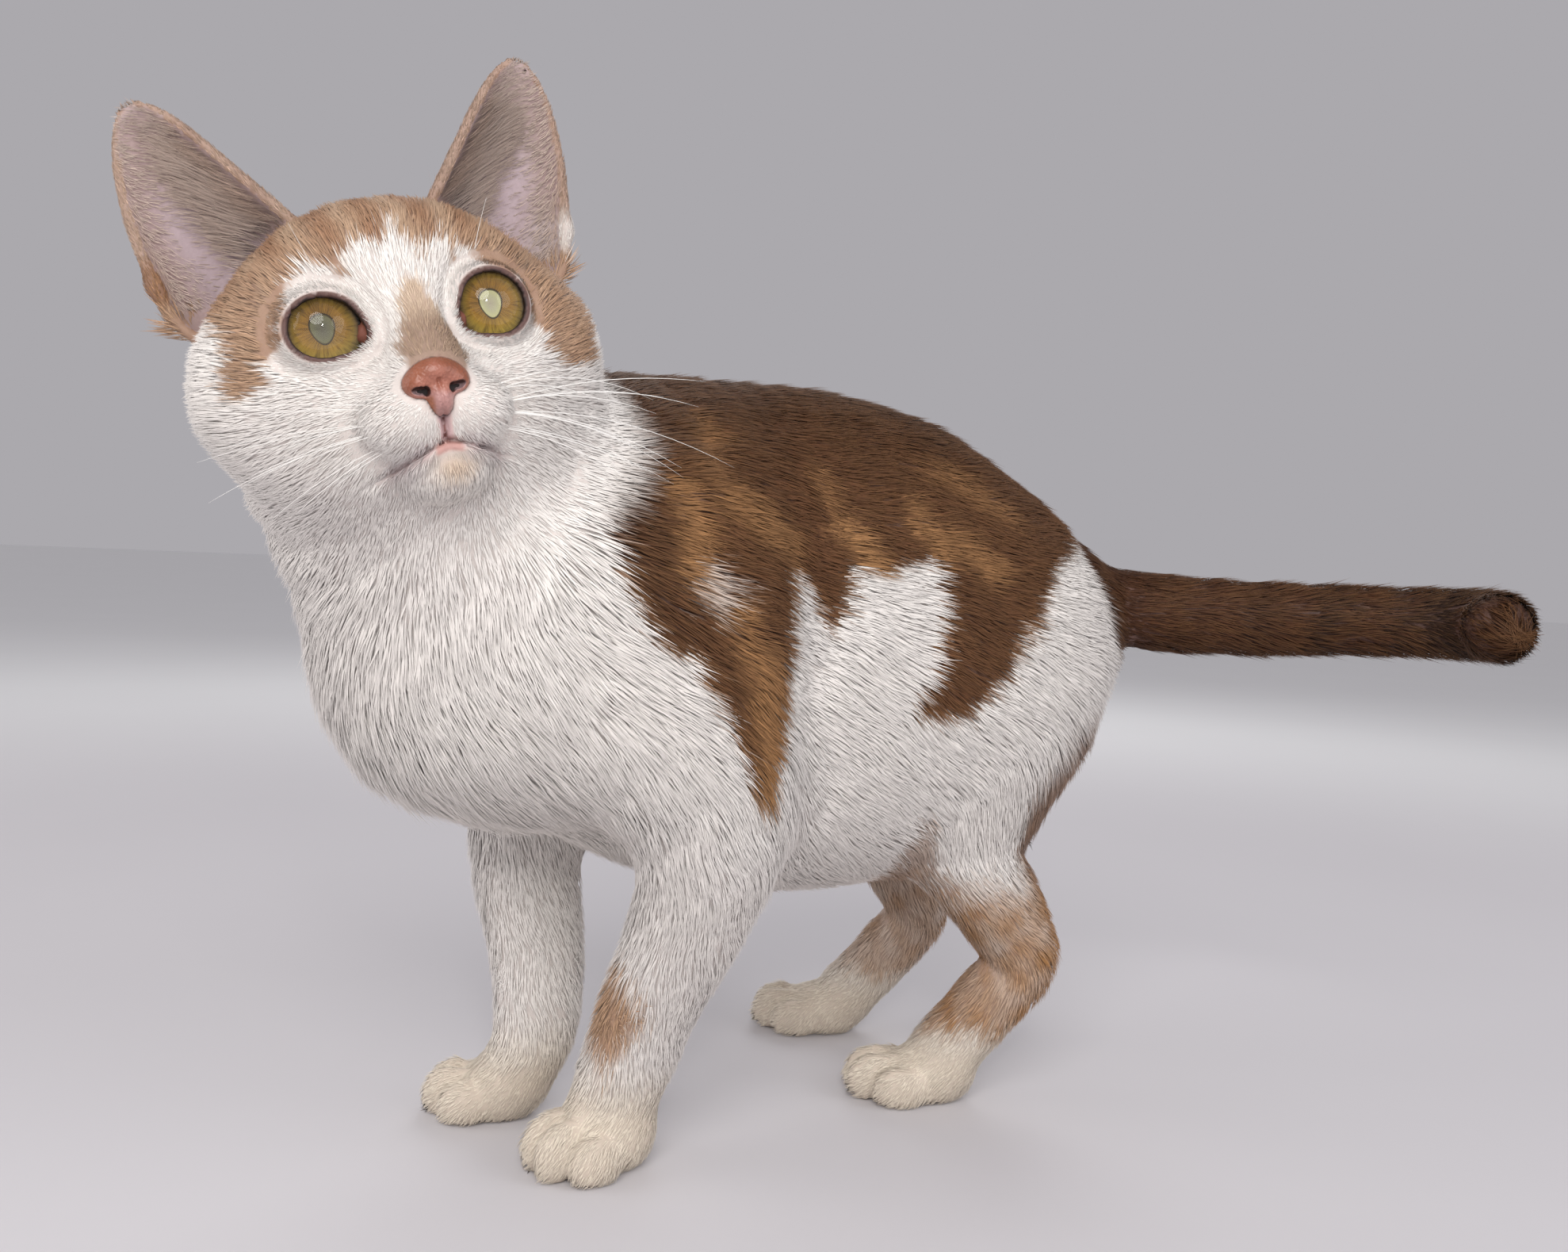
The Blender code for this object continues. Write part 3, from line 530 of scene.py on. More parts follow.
def ear_place(local):
    """Where points lie on the ear of their side: share of its height, place across it, depth in its cup."""
    root, tip = np.array(EAR_ROOT, float), np.array(EAR_TIP, float)
    rise = unit(tip - root)
    across = np.array(EAR_ACROSS)
    across = unit(across - rise * (across @ rise))
    out = np.cross(across, rise)
    out = out if out[1] < 0 else -out
    height = np.linalg.norm(tip - root) * np.where(local[..., 0] < 0, 0.945, 1.0)
    away = both_sides(local) - root
    share = away @ rise / height
    inner = np.clip(share, 0, 0.985)
    foot = np.sqrt(np.clip(1 - np.clip(-share * height / EAR_FOOT, 0, None) ** 2, 0.02, 1))
    half = EAR_HALF_WIDTH * (1 - inner) ** EAR_TAPER * foot
    cup = (EAR_CUP * (1 - inner) ** 0.85 + 0.6) * foot
    curve = (half**2 + cup**2) / (2 * cup)
    offset = away @ across - EAR_BOW * np.sin(pi * inner)
    depth = away @ out
    to_middle = curve - cup
    angle = np.arctan2(np.abs(offset), to_middle - depth)
    reach = np.hypot(offset, depth - to_middle)
    edge = np.hypot(np.abs(offset) - half, depth)
    wraps = angle <= np.arctan2(half, to_middle)
    sheet = np.where(wraps, np.abs(reach - curve), edge)
    beyond = np.clip(share - 0.985, 0, None) + np.clip(-share - EAR_FOOT / height, 0, None)
    thickness = EAR_THICKNESS + (EAR_TIP_THICKNESS - EAR_THICKNESS) * inner
    inside = smooth(curve - reach, -0.2, 0.4) * wraps
    return {
        "share": share,
        "across": offset / half,
        "inside": inside,
        "distance": np.hypot(sheet, beyond * height) - thickness / 2,
        "frame": (across, rise, out),
    }


EAR_BOX = np.array(((2.0, 6.0, -6.0), (68.0, 58.0, 70.0)))


def beside_ear(local):
    """Which points are near enough to an ear to be placed on it."""
    mirrored = both_sides(local)
    return np.all((mirrored > EAR_BOX[0]) & (mirrored < EAR_BOX[1]), axis=-1)


def ears(local):
    """The distance to the nearer ear's shell, with the folds in its cup."""
    value = np.full(len(local), FAR)
    near = beside_ear(local)
    if near.any():
        ear = ear_place(local[near])
        ridges = np.cos(ear["across"] * 11) * bell(ear["across"] - 0.15, 0.55)
        low = smooth(ear["share"], 0.5, 0.1)
        shell = ear["distance"] + EAR_THINNED - 0.5 * ear["inside"] * ridges * low
        # The pocket low on the ear's outer edge.
        pocket = bell(ear["share"] - 0.16, 0.07) * smooth(ear["across"], 0.75, 1.0)
        value[near] = shell - 0.9 * pocket
    return value


def coat_depth(points, local):
    """How far the skin lies under the tips of the coat."""
    from_face = np.linalg.norm(local - (0, 0, -8), axis=-1)
    head = 0.45 + 0.75 * smooth(from_face, 16, 36) + 1.4 * smooth(from_face, 46, 85)
    leg = 0.8 + 1.8 * smooth(points[..., 2], 22, 100)
    return np.minimum(head, leg)


def skin_function():
    """The skin's distance: the flesh less the coat's depth, with ears, sockets and flat soles."""
    flesh = together(cat_shapes())

    def distance(points):
        local = in_head(points)
        value = flesh(points) + coat_depth(points, local)
        value = smooth_min(value, ears(local), EAR_BLEND)
        place, opening, away = eye_place(local)
        view = np.maximum(away - opening, np.abs(place[..., 2] - VIEW_MIDDLE) - VIEW_HALF)
        value = smooth_max(value, -view, 0.6)
        grain = np.linalg.norm(caruncle_place(local, place), axis=-1) - 1
        value = smooth_min(value, grain * CARUNCLE_RADII.min(), 0.8)
        value = np.maximum(value, EYE_RADIUS + SEAT - np.sqrt((place**2).sum(-1)))
        return np.maximum(value, SOLE - points[..., 2])

    return distance


def widened(grid):
    """Places in the tables' frame of points of the uneven grid."""
    far = np.linalg.norm(grid, axis=-1, keepdims=True)
    return FOCUS + grid * (np.interp(far, SPREAD, REACHES) / np.maximum(far, 1e-6))


def lattice(axes):
    """Every point of the grid that the axes make."""
    return np.stack(np.meshgrid(*axes, indexing="ij"), -1)


def close_border(value, step):
    """Puts a sampled distance's border outside, so that its surface closes."""
    for axis, end in product(range(3), (0, -1)):
        border = value.swapaxes(0, axis)[end]
        border[border < 0] = step


def uneven_field(low, high, distance):
    """Axes of the uneven grid and the distance on it, exact near the surface and rough elsewhere."""
    start = -np.interp(FOCUS - low, REACHES, SPREAD)
    end = np.interp(high - FOCUS, REACHES, SPREAD)
    step = GRID_STEP * COARSE
    counts = [int((b - a) / step) + 2 for a, b in zip(start, end)]
    coarse = [a + np.arange(n) * step for a, n in zip(start, counts)]
    axes = [a + np.arange((n - 1) * COARSE + 1) * GRID_STEP for a, n in zip(start, counts)]
    rough = distance(widened(lattice(coarse)).reshape(-1, 3)).reshape(counts)
    picks = [np.round(np.arange(len(axis)) / COARSE).astype(int) for axis in axes]
    value = rough[np.ix_(*picks)]
    far = np.sqrt(sum(axis**2 for axis in np.meshgrid(*axes, indexing="ij", sparse=True)))
    band = np.abs(value) < BAND * GRID_STEP * np.interp(far, SPREAD, SCALES)
    spots = np.argwhere(band)
    grid = np.stack([axes[a][spots[:, a]] for a in range(3)], -1)
    value[band] = distance(widened(grid))
    close_border(value, GRID_STEP)
    return axes, value


def settled(points, distance, rounds=1):
    """Moves points onto the zero surface of distance, and gives the way out there."""
    points = points.copy()
    for _ in range(rounds):
        here = distance(points)
        slope = np.stack([distance(points + SLOPE_STEP * axis) - here for axis in np.eye(3)], -1) / SLOPE_STEP
        size = (slope**2).sum(-1)
        move = -(here / np.maximum(size, 0.2))[:, None] * slope
        length = np.linalg.norm(move, axis=-1, keepdims=True)
        points += move * (length < LONGEST_MOVE)
    return points, slope / np.sqrt(size)[:, None]


def linked(name, mesh):
    obj = bpy.data.objects.new(name, mesh)
    bpy.context.scene.collection.objects.link(obj)
    return obj


def dressed(name, points, faces):
    """An object of the model from points in the tables' frame, in millimetres."""
    mesh = bpy.data.meshes.new(name)
    mesh.from_pydata(metres(points), [], faces.tolist() if isinstance(faces, np.ndarray) else faces)
    mesh.update()
    mesh.shade_smooth()
    return linked(name, mesh)


def read(items, key, width=3, kind=np.float32):
    """One value of each item of a mesh, in rows."""
    flat = np.empty(len(items) * width, kind)
    items.foreach_get(key, flat)
    return flat.reshape(-1, width)


def write(items, key, rows, kind=np.float32):
    """Sets one value of each item of a mesh."""
    items.foreach_set(key, rows.astype(kind).ravel())


def points_of(mesh):
    """The mesh's points in the tables' frame, in millimetres."""
    return read(mesh.vertices, "co").astype(float) / MM + SHIFT


def painted(mesh, shades):
    """Keeps a colour for each point, where the materials read it."""
    layer = mesh.attributes.new("coat", "FLOAT_COLOR", "POINT")
    write(layer.data, "color", np.concatenate([np.clip(shades, 0, 1), np.ones((len(shades), 1))], -1))


def largest(obj):
    """Keeps the object's largest closed surface."""
    shape = bmesh.new()
    shape.from_mesh(obj.data)
    seen, groups = set(), []
    for vert in shape.verts:
        if vert in seen:
            continue
        group, front = [], [vert]
        seen.add(vert)
        while front:
            here = front.pop()
            group.append(here)
            for edge in here.link_edges:
                other = edge.other_vert(here)
                if other not in seen:
                    seen.add(other)
                    front.append(other)
        groups.append(group)
    groups.sort(key=len)
    for group in groups[:-1]:
        bmesh.ops.delete(shape, geom=group, context="VERTS")
    shape.to_mesh(obj.data)
    shape.free()
    return obj


def refined(obj, wanted):
    """Splits the faces all of whose corners are wanted, once."""
    chosen = wanted(in_head(points_of(obj.data)))
    shape = bmesh.new()
    shape.from_mesh(obj.data)
    shape.verts.ensure_lookup_table()
    for vert, pick in zip(shape.verts, chosen):
        vert.tag = bool(pick)
    edges = [edge for edge in shape.edges if edge.verts[0].tag and edge.verts[1].tag]
    bmesh.ops.subdivide_edges(shape, edges=edges, cuts=1, use_grid_fill=True)
    shape.to_mesh(obj.data)
    shape.free()
    return obj


def detailed(local):
    """Where the face needs the finest mesh: round the eyes, the nose and the mouth."""
    place, opening, away = eye_place(local)
    eyes = (away < opening + 6) & (place[..., 2] > 0) & (place[..., 2] < 14)
    side = np.abs(local[..., 0])
    mouth = (side < 17) & (local[..., 1] < 4) & (local[..., 2] < -9) & (local[..., 2] > -40)
    return eyes | mouth


def build_skin():
    distance = skin_function()
    grid, faces = surface_net(*uneven_field(SKIN_LOW, SKIN_HIGH, distance))
    skin = dressed("skin", widened(grid), faces)
    largest(skin)
    refined(skin, detailed)
    points = points_of(skin.data)
    near = np.linalg.norm(points - FOCUS, axis=-1) < SETTLED_REACH
    points[near] = settled(points[near], distance)[0]
    write(skin.data.vertices, "co", metres(points))
    skin.data.update()
    skin.data.shade_smooth()
    return skin


# Markings. Colours are given as they look on a screen and turned into light's own scale.


def colour(red, green, blue):
    """A screen colour, 0 to 255, as linear red, green and blue."""
    share = np.array((red, green, blue)) / 255
    return np.where(share <= 0.04045, share / 12.92, ((share + 0.055) / 1.055) ** 2.4)


WHITE = colour(236, 230, 224)
CREAM = colour(230, 216, 194)
TAN = colour(156, 120, 95)
PALE_TAN = colour(200, 174, 148)
BROWN = colour(92, 60, 38)
DARK = colour(58, 35, 20)
BAR = colour(166, 122, 80)
RUST = colour(132, 88, 50)
SHANK = colour(172, 128, 86)
TAIL_BROWN = colour(70, 42, 25)
TAIL_BAND = colour(38, 22, 13)
LILAC = colour(186, 168, 174)
BARE_PINK = colour(206, 160, 148)
LID = colour(102, 76, 71)
# The lids' dark edge; the same near black is painted as shade on the skin inside the nose leather.
LID_EDGE_AND_NOSE_SHADE = colour(34, 22, 20)
LID_OUTER = colour(84, 54, 42)
CARUNCLE = colour(120, 72, 58)
LIP = colour(188, 146, 138)
LIP_LINE = colour(128, 80, 74)
CLEFT = colour(206, 178, 178)
MOUTH_SHADOW_MAUVE = colour(176, 158, 162)

# The brown saddle from the side: y and z round its edge, closed over the back.
SADDLE = (
    (-75, 290), (-64, 212), (-44, 203), (-30, 198), (-21, 190), (-20, 170), (-17, 157), (-12, 147), (-9, 142),
    (0, 139), (3, 133), (10, 125), (14, 115), (19, 105), (27, 101), (30, 109), (31, 123), (34, 137), (36, 152),
    (37, 160), (44, 157), (48, 149), (52, 144), (57, 151), (61, 161), (76, 162), (85, 166), (90, 162),
    (88, 152), (85, 138), (76, 125), (80, 121), (99, 123), (108, 128), (119, 142), (129, 155), (136, 163),
    (146, 168), (156, 172), (190, 180), (190, 290),
)
# Paler bars on it: y and z of both ends, half width, strength.
BARS = (
    (17, 194, 12, 183, 5.5, 0.35),
    (2, 178, 0, 160, 5.0, 0.55),
    (0, 160, 13, 151, 4.5, 0.75),
    (13, 151, 20, 133, 5.0, 0.65),
    (14, 178, 37, 168, 6.0, 0.50),
    (39, 170, 36, 156, 4.0, 0.45),
    (55, 185, 59, 173, 4.0, 0.50),
    (59, 173, 66, 163, 5.0, 0.75),
    (86, 178, 92, 168, 4.5, 0.70),
    (98, 191, 123, 180, 4.5, 0.35),
    (95, 171, 111, 162, 5.0, 0.50),
    (22, 135, 26, 106, 7.0, 0.70),
)
# Tan over the crown from the front: x and z in the head's frame.
CROWN = (
    (-70, 80), (-70, 22), (-38, 16), (-37, 0), (-39, -7), (-38.6, -10.5), (-35, -11.5), (-32, -8.3),
    (-29, -3), (-26, -1), (-25, 5), (-23, 10), (-18.5, 14.5), (-15, 13), (-11.3, 10), (-9.8, 14), (-7.5, 17.5),
    (-3.2, 15.5), (-1.2, 17.5), (0.6, 20), (1.8, 17.5), (3.6, 15), (5.9, 13),
    (10.5, 16), (12.3, 11.5), (14, 12.7),
    (18.3, 11), (21.3, 8), (25.7, 4), (26.3, -1), (28, -4), (29.5, -11), (34, -15.5), (42, -15), (44, -6),
    (44, 6), (70, 10), (70, 80),
)
EAR_RIM = colour(180, 154, 138)
EAR_HAIR = colour(192, 173, 162)
BRIDGE_BROWN = colour(150, 122, 98)
NOSE_BRICK = colour(156, 96, 78)
NOSE_PINK = colour(170, 124, 118)
NOSE_RUST = colour(134, 74, 48)
NOSE_SHADE = colour(142, 82, 54)
# The nostrils' roof, painted dark as shadow, and their grey floor.
NOSTRIL_ROOF_SHADOW = colour(58, 34, 31)
NOSTRIL_FLOOR = colour(158, 132, 134)
# Brown down the bridge of the nose, from the front as well.
BRIDGE_PATCH = (
    (0.2, 8.5), (3.2, 7), (5.2, -1), (8, -6), (8.3, -11), (6.8, -14.5), (-4.2, -13.5), (-5.4, -8), (-3, -1),
)


def polygon_distance(a, b, rows):
    """Distance to a polygon's edge, negative inside."""
    rows = np.array(rows, float)
    nearest = np.full(a.shape, 1e9)
    inside = np.zeros(a.shape, bool)
    for (x0, y0), (x1, y1) in zip(rows, np.roll(rows, -1, axis=0)):
        run, rise = x1 - x0, y1 - y0
        share = np.clip(((a - x0) * run + (b - y0) * rise) / (run**2 + rise**2), 0, 1)
        nearest = np.minimum(nearest, (a - x0 - share * run) ** 2 + (b - y0 - share * rise) ** 2)
        crosses = (y0 > b) != (y1 > b)
        if rise:
            inside ^= crosses & (a < x0 + (b - y0) * run / rise)
    return np.where(inside, -1, 1) * np.sqrt(nearest)


def segment_distance(a, b, x0, y0, x1, y1):
    run, rise = x1 - x0, y1 - y0
    share = np.clip(((a - x0) * run + (b - y0) * rise) / (run**2 + rise**2), 0, 1)
    return np.hypot(a - x0 - share * run, b - y0 - share * rise)


def ripple(points, length, seed):
    """A smooth, irregular wave from -1 to 1 over the points, about length from crest to crest."""
    draw = np.random.default_rng(seed)
    total = 0
    for _ in range(5):
        way = unit(draw.normal(size=3)) * 2 * pi / (length * draw.uniform(0.7, 1.5))
        total = total + np.sin(points @ way + draw.uniform(0, 2 * pi))
    return total / 3.2


def spine_x(y):
    """Where the trunk's middle lies sideways."""
    return np.interp(y, [row[1] for row in TRUNK], [row[0] for row in TRUNK])


def toward_tail(points):
    """How far back, square to the tail's root."""
    return points[:, 1] + 0.25 * (points[:, 2] - 150)


def limb_rows():
    """Each limb's middle line, with its half width, from the table that shapes it."""
    rows = {"tail": curve_through(TAIL, 6)}
    for side in ("left", "right"):
        rows[f"foreleg_{side}"] = curve_through([row[:4] for row in FORELEG[side]], 5)
        rows[f"hindleg_{side}"] = curve_through([row[:4] for row in HINDLEG[side]], 5)
    return rows


LIMBS = limb_rows()


def along_limb(points, name):
    """Distance to a limb's middle line, the way it runs, and how far along it, from 0 to 1."""
    rows = LIMBS[name]
    best = np.full(len(points), 1e9)
    way = np.zeros((len(points), 3))
    share = np.zeros(len(points))
    steps = np.linalg.norm(np.diff(rows[:, :3], axis=0), axis=1)
    before = np.concatenate([[0], np.cumsum(steps)]) / steps.sum()
    for i in range(len(rows) - 1):
        start, step = rows[i, :3], rows[i + 1, :3] - rows[i, :3]
        part = np.clip((points - start) @ step / (step @ step), 0, 1)
        gap = ((points - start - part[:, None] * step) ** 2).sum(-1)
        closer = gap < best
        best[closer] = gap[closer]
        way[closer] = unit(step)
        share[closer] = before[i] + part[closer] * (before[i + 1] - before[i])
    return np.sqrt(best), way, share


def limb_weights(points):
    """How much each limb's lie and colour count at each point."""
    found = {}
    for name in LIMBS:
        gap, way, share = along_limb(points, name)
        if name == "tail":
            weight = smooth(points[:, 1], 150, 168) * smooth(gap, 26, 19)
        else:
            weight = smooth(points[:, 2], 128, 84) * smooth(gap, 32, 21)
        found[name] = (weight, way, share)
    return found


def trunk_colours(points, wobble):
    """White with the brown saddle and its bars, darker along the spine and at the shoulder."""
    x, y, z = points.T
    right = x < spine_x(y)
    along = y + np.where(right, 5 * np.sin(z / 15), 0)
    edge = polygon_distance(along, z + np.where(right, 4.0, 0), SADDLE) + 0.6 * wobble
    brown = blend(BROWN, DARK, 0.45 * smooth(z, 180, 206) + 0.15 * (1 + ripple(points, 30, 5)))
    brown = blend(brown, DARK, 0.5 * smooth(along, 8, -14) * smooth(z, 195, 165))
    pale = np.zeros(len(points))
    for *ends, half, strength in BARS:
        gap = segment_distance(along, z, *ends) + 0.7 * wobble
        pale = np.maximum(pale, 1.15 * strength * smooth(gap, half + 2.5, half - 4))
    brown = blend(brown, BAR, pale)
    spot = np.hypot((along - 9) * 0.7, z - 155) + wobble
    brown = blend(brown, WHITE, 0.5 * smooth(spot, 6.5, 2))
    trim = smooth(edge, -3.5, 0) * smooth(z, 175, 150)
    brown = blend(brown, BAR, 0.45 * trim)
    return blend(WHITE, brown, smooth(edge, 1.6, -1.6))


def leg_colours(points, wobble, found):
    """Adds cream paws, tan hind shanks with a rusty rear edge, and a tan spot on the left foreleg."""
    x, y, z = points.T
    found = blend(found, CREAM, 0.8 * smooth(z, 34, 12))
    rear = blend(BROWN, RUST, 0.4 + 0.3 * ripple(points, 9, 6))
    for side, tint in (("left", 0.92), ("right", 0.72)):
        rows = np.array(HINDLEG[side])
        leg_x, leg_y = (np.interp(z, rows[::-1, 2], rows[::-1, a]) for a in (0, 1))
        behind = smooth(y - leg_y + wobble, 3, 8) * smooth(z, 126, 112) * smooth(z, 28, 38)
        near = smooth(np.abs(x - leg_x), 24, 17) * (y > 90)
        found = blend(found, rear, 0.85 * behind * near)
        streak = segment_distance(y, z, rows[0, 1] - 54, 86, rows[0, 1] - 33, 58) + wobble
        outside = x > 0 if side == "left" else True
        found = blend(found, RUST, 0.6 * smooth(streak, 7, 1) * near * outside)
        shank = smooth(z + wobble, 78, 60) * smooth(z + wobble, 18, 28) * near
        found = blend(found, SHANK, tint * shank * (0.88 + 0.2 * ripple(points, 10, 7)))
    spot = np.linalg.norm((points - (22.5, 1.5, 44)) * (1, 1, 0.8), axis=-1) + wobble
    return blend(found, SHANK, 0.85 * smooth(spot, 14, 7))


def tail_colours(points, wobble, found):
    """Adds the tail: brown with darker rings, a dark band and a paler end."""
    gap, _, share = along_limb(points, "tail")
    rings = smooth(np.sin(share * 44 + 0.5 * wobble), 0.2, 0.9) * smooth(share, 0.35, 0.6)
    tail = blend(TAIL_BROWN, TAIL_BAND, 0.75 * rings)
    tail = blend(tail, TAIL_BAND, 0.8 * smooth(share, 0.76, 0.82) * smooth(share, 0.97, 0.90))
    tail = blend(tail, BROWN, 0.35 * smooth(share, 0.95, 1.0))
    return blend(found, tail, smooth(toward_tail(points), 158, 164) * smooth(gap, 28, 21))


def ear_marks(local):
    """How much each point is on an ear, and on its white patch, its pale rim and its rusty patch."""
    on_ear, pale, rim, rust = np.zeros((4, len(local)))
    near = beside_ear(local)
    if near.any():
        ear = ear_place(local[near])
        share, across, gap = ear["share"], ear["across"], ear["distance"]
        left = local[near, 0] > 0
        on = smooth(gap, 3.5, 2.0) * smooth(share, -0.02, 0.08)
        edge = smooth(np.abs(across), 0.80, 0.98) * smooth(share, 0.05, 0.2)
        on_ear[near] = on
        pale[near] = left * on * smooth(share, 0.30, 0.14) * smooth(across, 0.35, 0.8)
        rim[near] = np.maximum(edge, smooth(share, 0.90, 0.97)) * smooth(np.abs(gap), 2.5, 1.5)
        rust[near] = ~left * on * smooth(share, 0.34, 0.22) * smooth(across, 0.5, 0.9)
    return on_ear, pale, rim, rust


def head_colours(points, local, blur):
    """The head's colours, and how much each point is on the head."""
    a, b, c = local.T
    fine = 0.9 * ripple(points, 7, 8) + 0.7 * ripple(points, 3, 9) + 0.45 * blur
    crown = smooth(polygon_distance(a, c, CROWN) + fine, 1.1, -1.1) * smooth(b, 34, 26)
    nape = smooth(c + 0.35 * (b - 30) + fine, -6, 0) * smooth(b, 24, 30)
    streaks = np.sin(a * 0.62 + 0.6 * ripple(points, 12, 10)) * smooth(c, 12, 20)
    tan = blend(TAN, PALE_TAN, np.clip(0.30 + 0.28 * streaks + 0.12 * ripple(points, 5, 11), 0, 1))
    tan = blend(tan, BROWN, 0.55 * smooth(b, 34, 52))
    on_ear, pale, rim, rust = ear_marks(local)
    for shade, share in ((EAR_RIM, 0.8 * rim), (RUST, 0.7 * rust), (WHITE, 0.85 * pale)):
        tan = blend(tan, shade, share)
    found = blend(WHITE, tan, np.maximum(np.maximum(crown, on_ear), nape))
    side, back, up = both_sides(local).T
    lips = above_lips(side, up) + 0.4 * fine
    # A soft mauve grey shadow painted along both sides of the line between the lips.
    shade = bell(lips + 0.6, 2.3) * smooth(side, 1.5, 5) * smooth(side, 16, 10) * (back < 8)
    found = blend(found, MOUTH_SHADOW_MAUVE, 0.6 * shade)
    found = blend(found, PALE_TAN, 0.75 * bell(side, 4.2) * bell(up + 33.5, 3.4) * (back < 6))
    bridge = smooth(polygon_distance(a, c, BRIDGE_PATCH) + 0.6 * fine, 1.0, -1.0) * (b < 8)
    found = blend(found, blend(PALE_TAN, BRIDGE_BROWN, smooth(c, 2, -5)), 0.9 * bridge)
    chin = np.linalg.norm((local - (2, -9, -34)) * (1, 0.5, 1.4), axis=-1) + fine
    found = blend(found, PALE_TAN, 0.40 * smooth(chin, 5, 1))
    on_head = smooth(np.linalg.norm(local - (0, 16, -4), axis=-1), 66, 54)
    return found, np.maximum(on_head, on_ear) * (1 - smooth(points[:, 2], 172, 160))


def coat_colours(points, local, blur=0):
    """The coat's colour at points of the tables' frame, with the patches' edges blurred by blur."""
    wobble = 2.2 * ripple(points, 16, 3) + 1.2 * ripple(points, 6, 4) + blur
    found = leg_colours(points, wobble, trunk_colours(points, wobble))
    found = tail_colours(points, wobble, found)
    return blend(found, *head_colours(points, local, blur))


def bare(local):
    """How bare the skin is, its colour there with painted shade inside the nose and in the mouth's creases, and
    each point's place on an ear.
    """
    count = len(local)
    ear_in, across, share = np.zeros(count), np.zeros(count), np.full(count, -1.0)
    on_ear = np.zeros(count, bool)
    near = beside_ear(local)
    if near.any():
        ear = ear_place(local[near])
        close = ear["distance"] < 1.2
        ear_in[near] = ear["inside"] * close
        across[near], share[near] = ear["across"], ear["share"]
        on_ear[near] = close & (ear["share"] > -0.05)
    in_cup = ear_in * (0.55 + 0.4 * smooth(np.abs(across), 0.8, 0.3) * smooth(share, 0.75, 0.4))
    place, opening, away = eye_place(local)
    lid = away - opening
    rim = smooth(lid, 1.6, 0.95) * (place[:, 2] > 1) * (place[:, 2] < 12) * (np.abs(lid) < 6)
    corner = np.linalg.norm(caruncle_place(local, place), axis=-1)
    mirrored = both_sides(local)
    side, back, up = mirrored.T
    lips = above_lips(side, up)
    mouth = smooth(np.abs(lips + 0.2), 1.5, 0.5) * smooth(side, 14, 9) * (back < 6)
    cleft = smooth(side, 1.9, 0.9) * smooth(np.abs(up + 24), 4.6, 3.4) * (back < 0)
    lower = smooth(lips, 0.1, -0.4) * smooth(lips, -2.7, -1.9) * smooth(side, 3.6, 2.4) * (back < 0)
    # A darker pink line between the lips and down the cleft: the lips' own edge and painted shade in those
    # creases.
    line = smooth(np.abs(lips + 0.1), 0.55, 0.2) * smooth(side, 7, 3)
    crease = np.maximum(line, smooth(side, 0.55, 0.15) * cleft) * (back < 3)
    # The skin inside the nose leather, seen through the nostrils, is painted near black as shade.
    shaded_under_nose = smooth(nose_body(local, mirrored), 0.4, -0.1)
    own = np.tile(BARE_PINK, (count, 1))
    own[ear_in > 0.5] = LILAC
    for shade, strength in (
        (LID, rim), (LID_OUTER, rim * smooth(lid, 0.8, 1.2)), (LID_EDGE_AND_NOSE_SHADE, rim * smooth(lid, 0.40, 0.1)),
        (CARUNCLE, smooth(corner, 1.45, 1.15)), (CLEFT, np.maximum(mouth, cleft)), (LIP, lower),
        (LIP_LINE, crease), (LID_EDGE_AND_NOSE_SHADE, shaded_under_nose),
    ):
        own = blend(own, shade, strength)
    mouth = mouth * (0.6 - 0.4 * smooth(side, 3, 9))
    shown = np.max([in_cup, rim, smooth(corner, 1.5, 1.2), mouth, cleft, lower, shaded_under_nose], axis=0)
    return shown, own, (ear_in, across, share, on_ear)


# Coat


ATLAS_PATCH = 0.003


def atlas(points, local):
    """Places on the unwrap: the head as a ball and the rest as tubes, each in its own part of the square."""
    whole = 2 * pi
    turn = np.arctan2(points[:, 0] - spine_x(points[:, 1]), 145 - points[:, 2]) / whole + 0.5
    found = np.stack([0.49 * turn, 0.51 + 0.48 * np.clip((points[:, 1] + 70) / 250, 0, 1)], -1)
    ball = local - HEAD_MIDDLE
    far = np.linalg.norm(ball, axis=-1)
    around = np.arctan2(ball[:, 0], -ball[:, 1]) / whole + 0.5
    over = np.arcsin(np.clip(ball[:, 2] / far, -1, 1)) / pi + 0.5
    head = far < 58
    found[head] = np.stack([0.51 + 0.48 * around, 0.51 + 0.48 * over], -1)[head]
    for place, (name, (weight, _, share)) in enumerate(limb_weights(points).items()):
        rows = LIMBS[name]
        step = np.clip((share * (len(rows) - 1)).astype(int), 0, len(rows) - 1)
        away = points - rows[step, :3]
        first, second = (1, 0) if name != "tail" else (0, 2)
        angle = np.arctan2(away[:, first], away[:, second]) / whole + 0.5
        strip = np.stack([0.01 + 0.197 * place + 0.187 * angle, 0.01 + 0.48 * share], -1)
        chosen = weight > 0.5
        found[chosen] = strip[chosen]
    return found


def unit_rows(rows):
    return rows / np.maximum(np.linalg.norm(rows, axis=-1, keepdims=True), 1e-9)


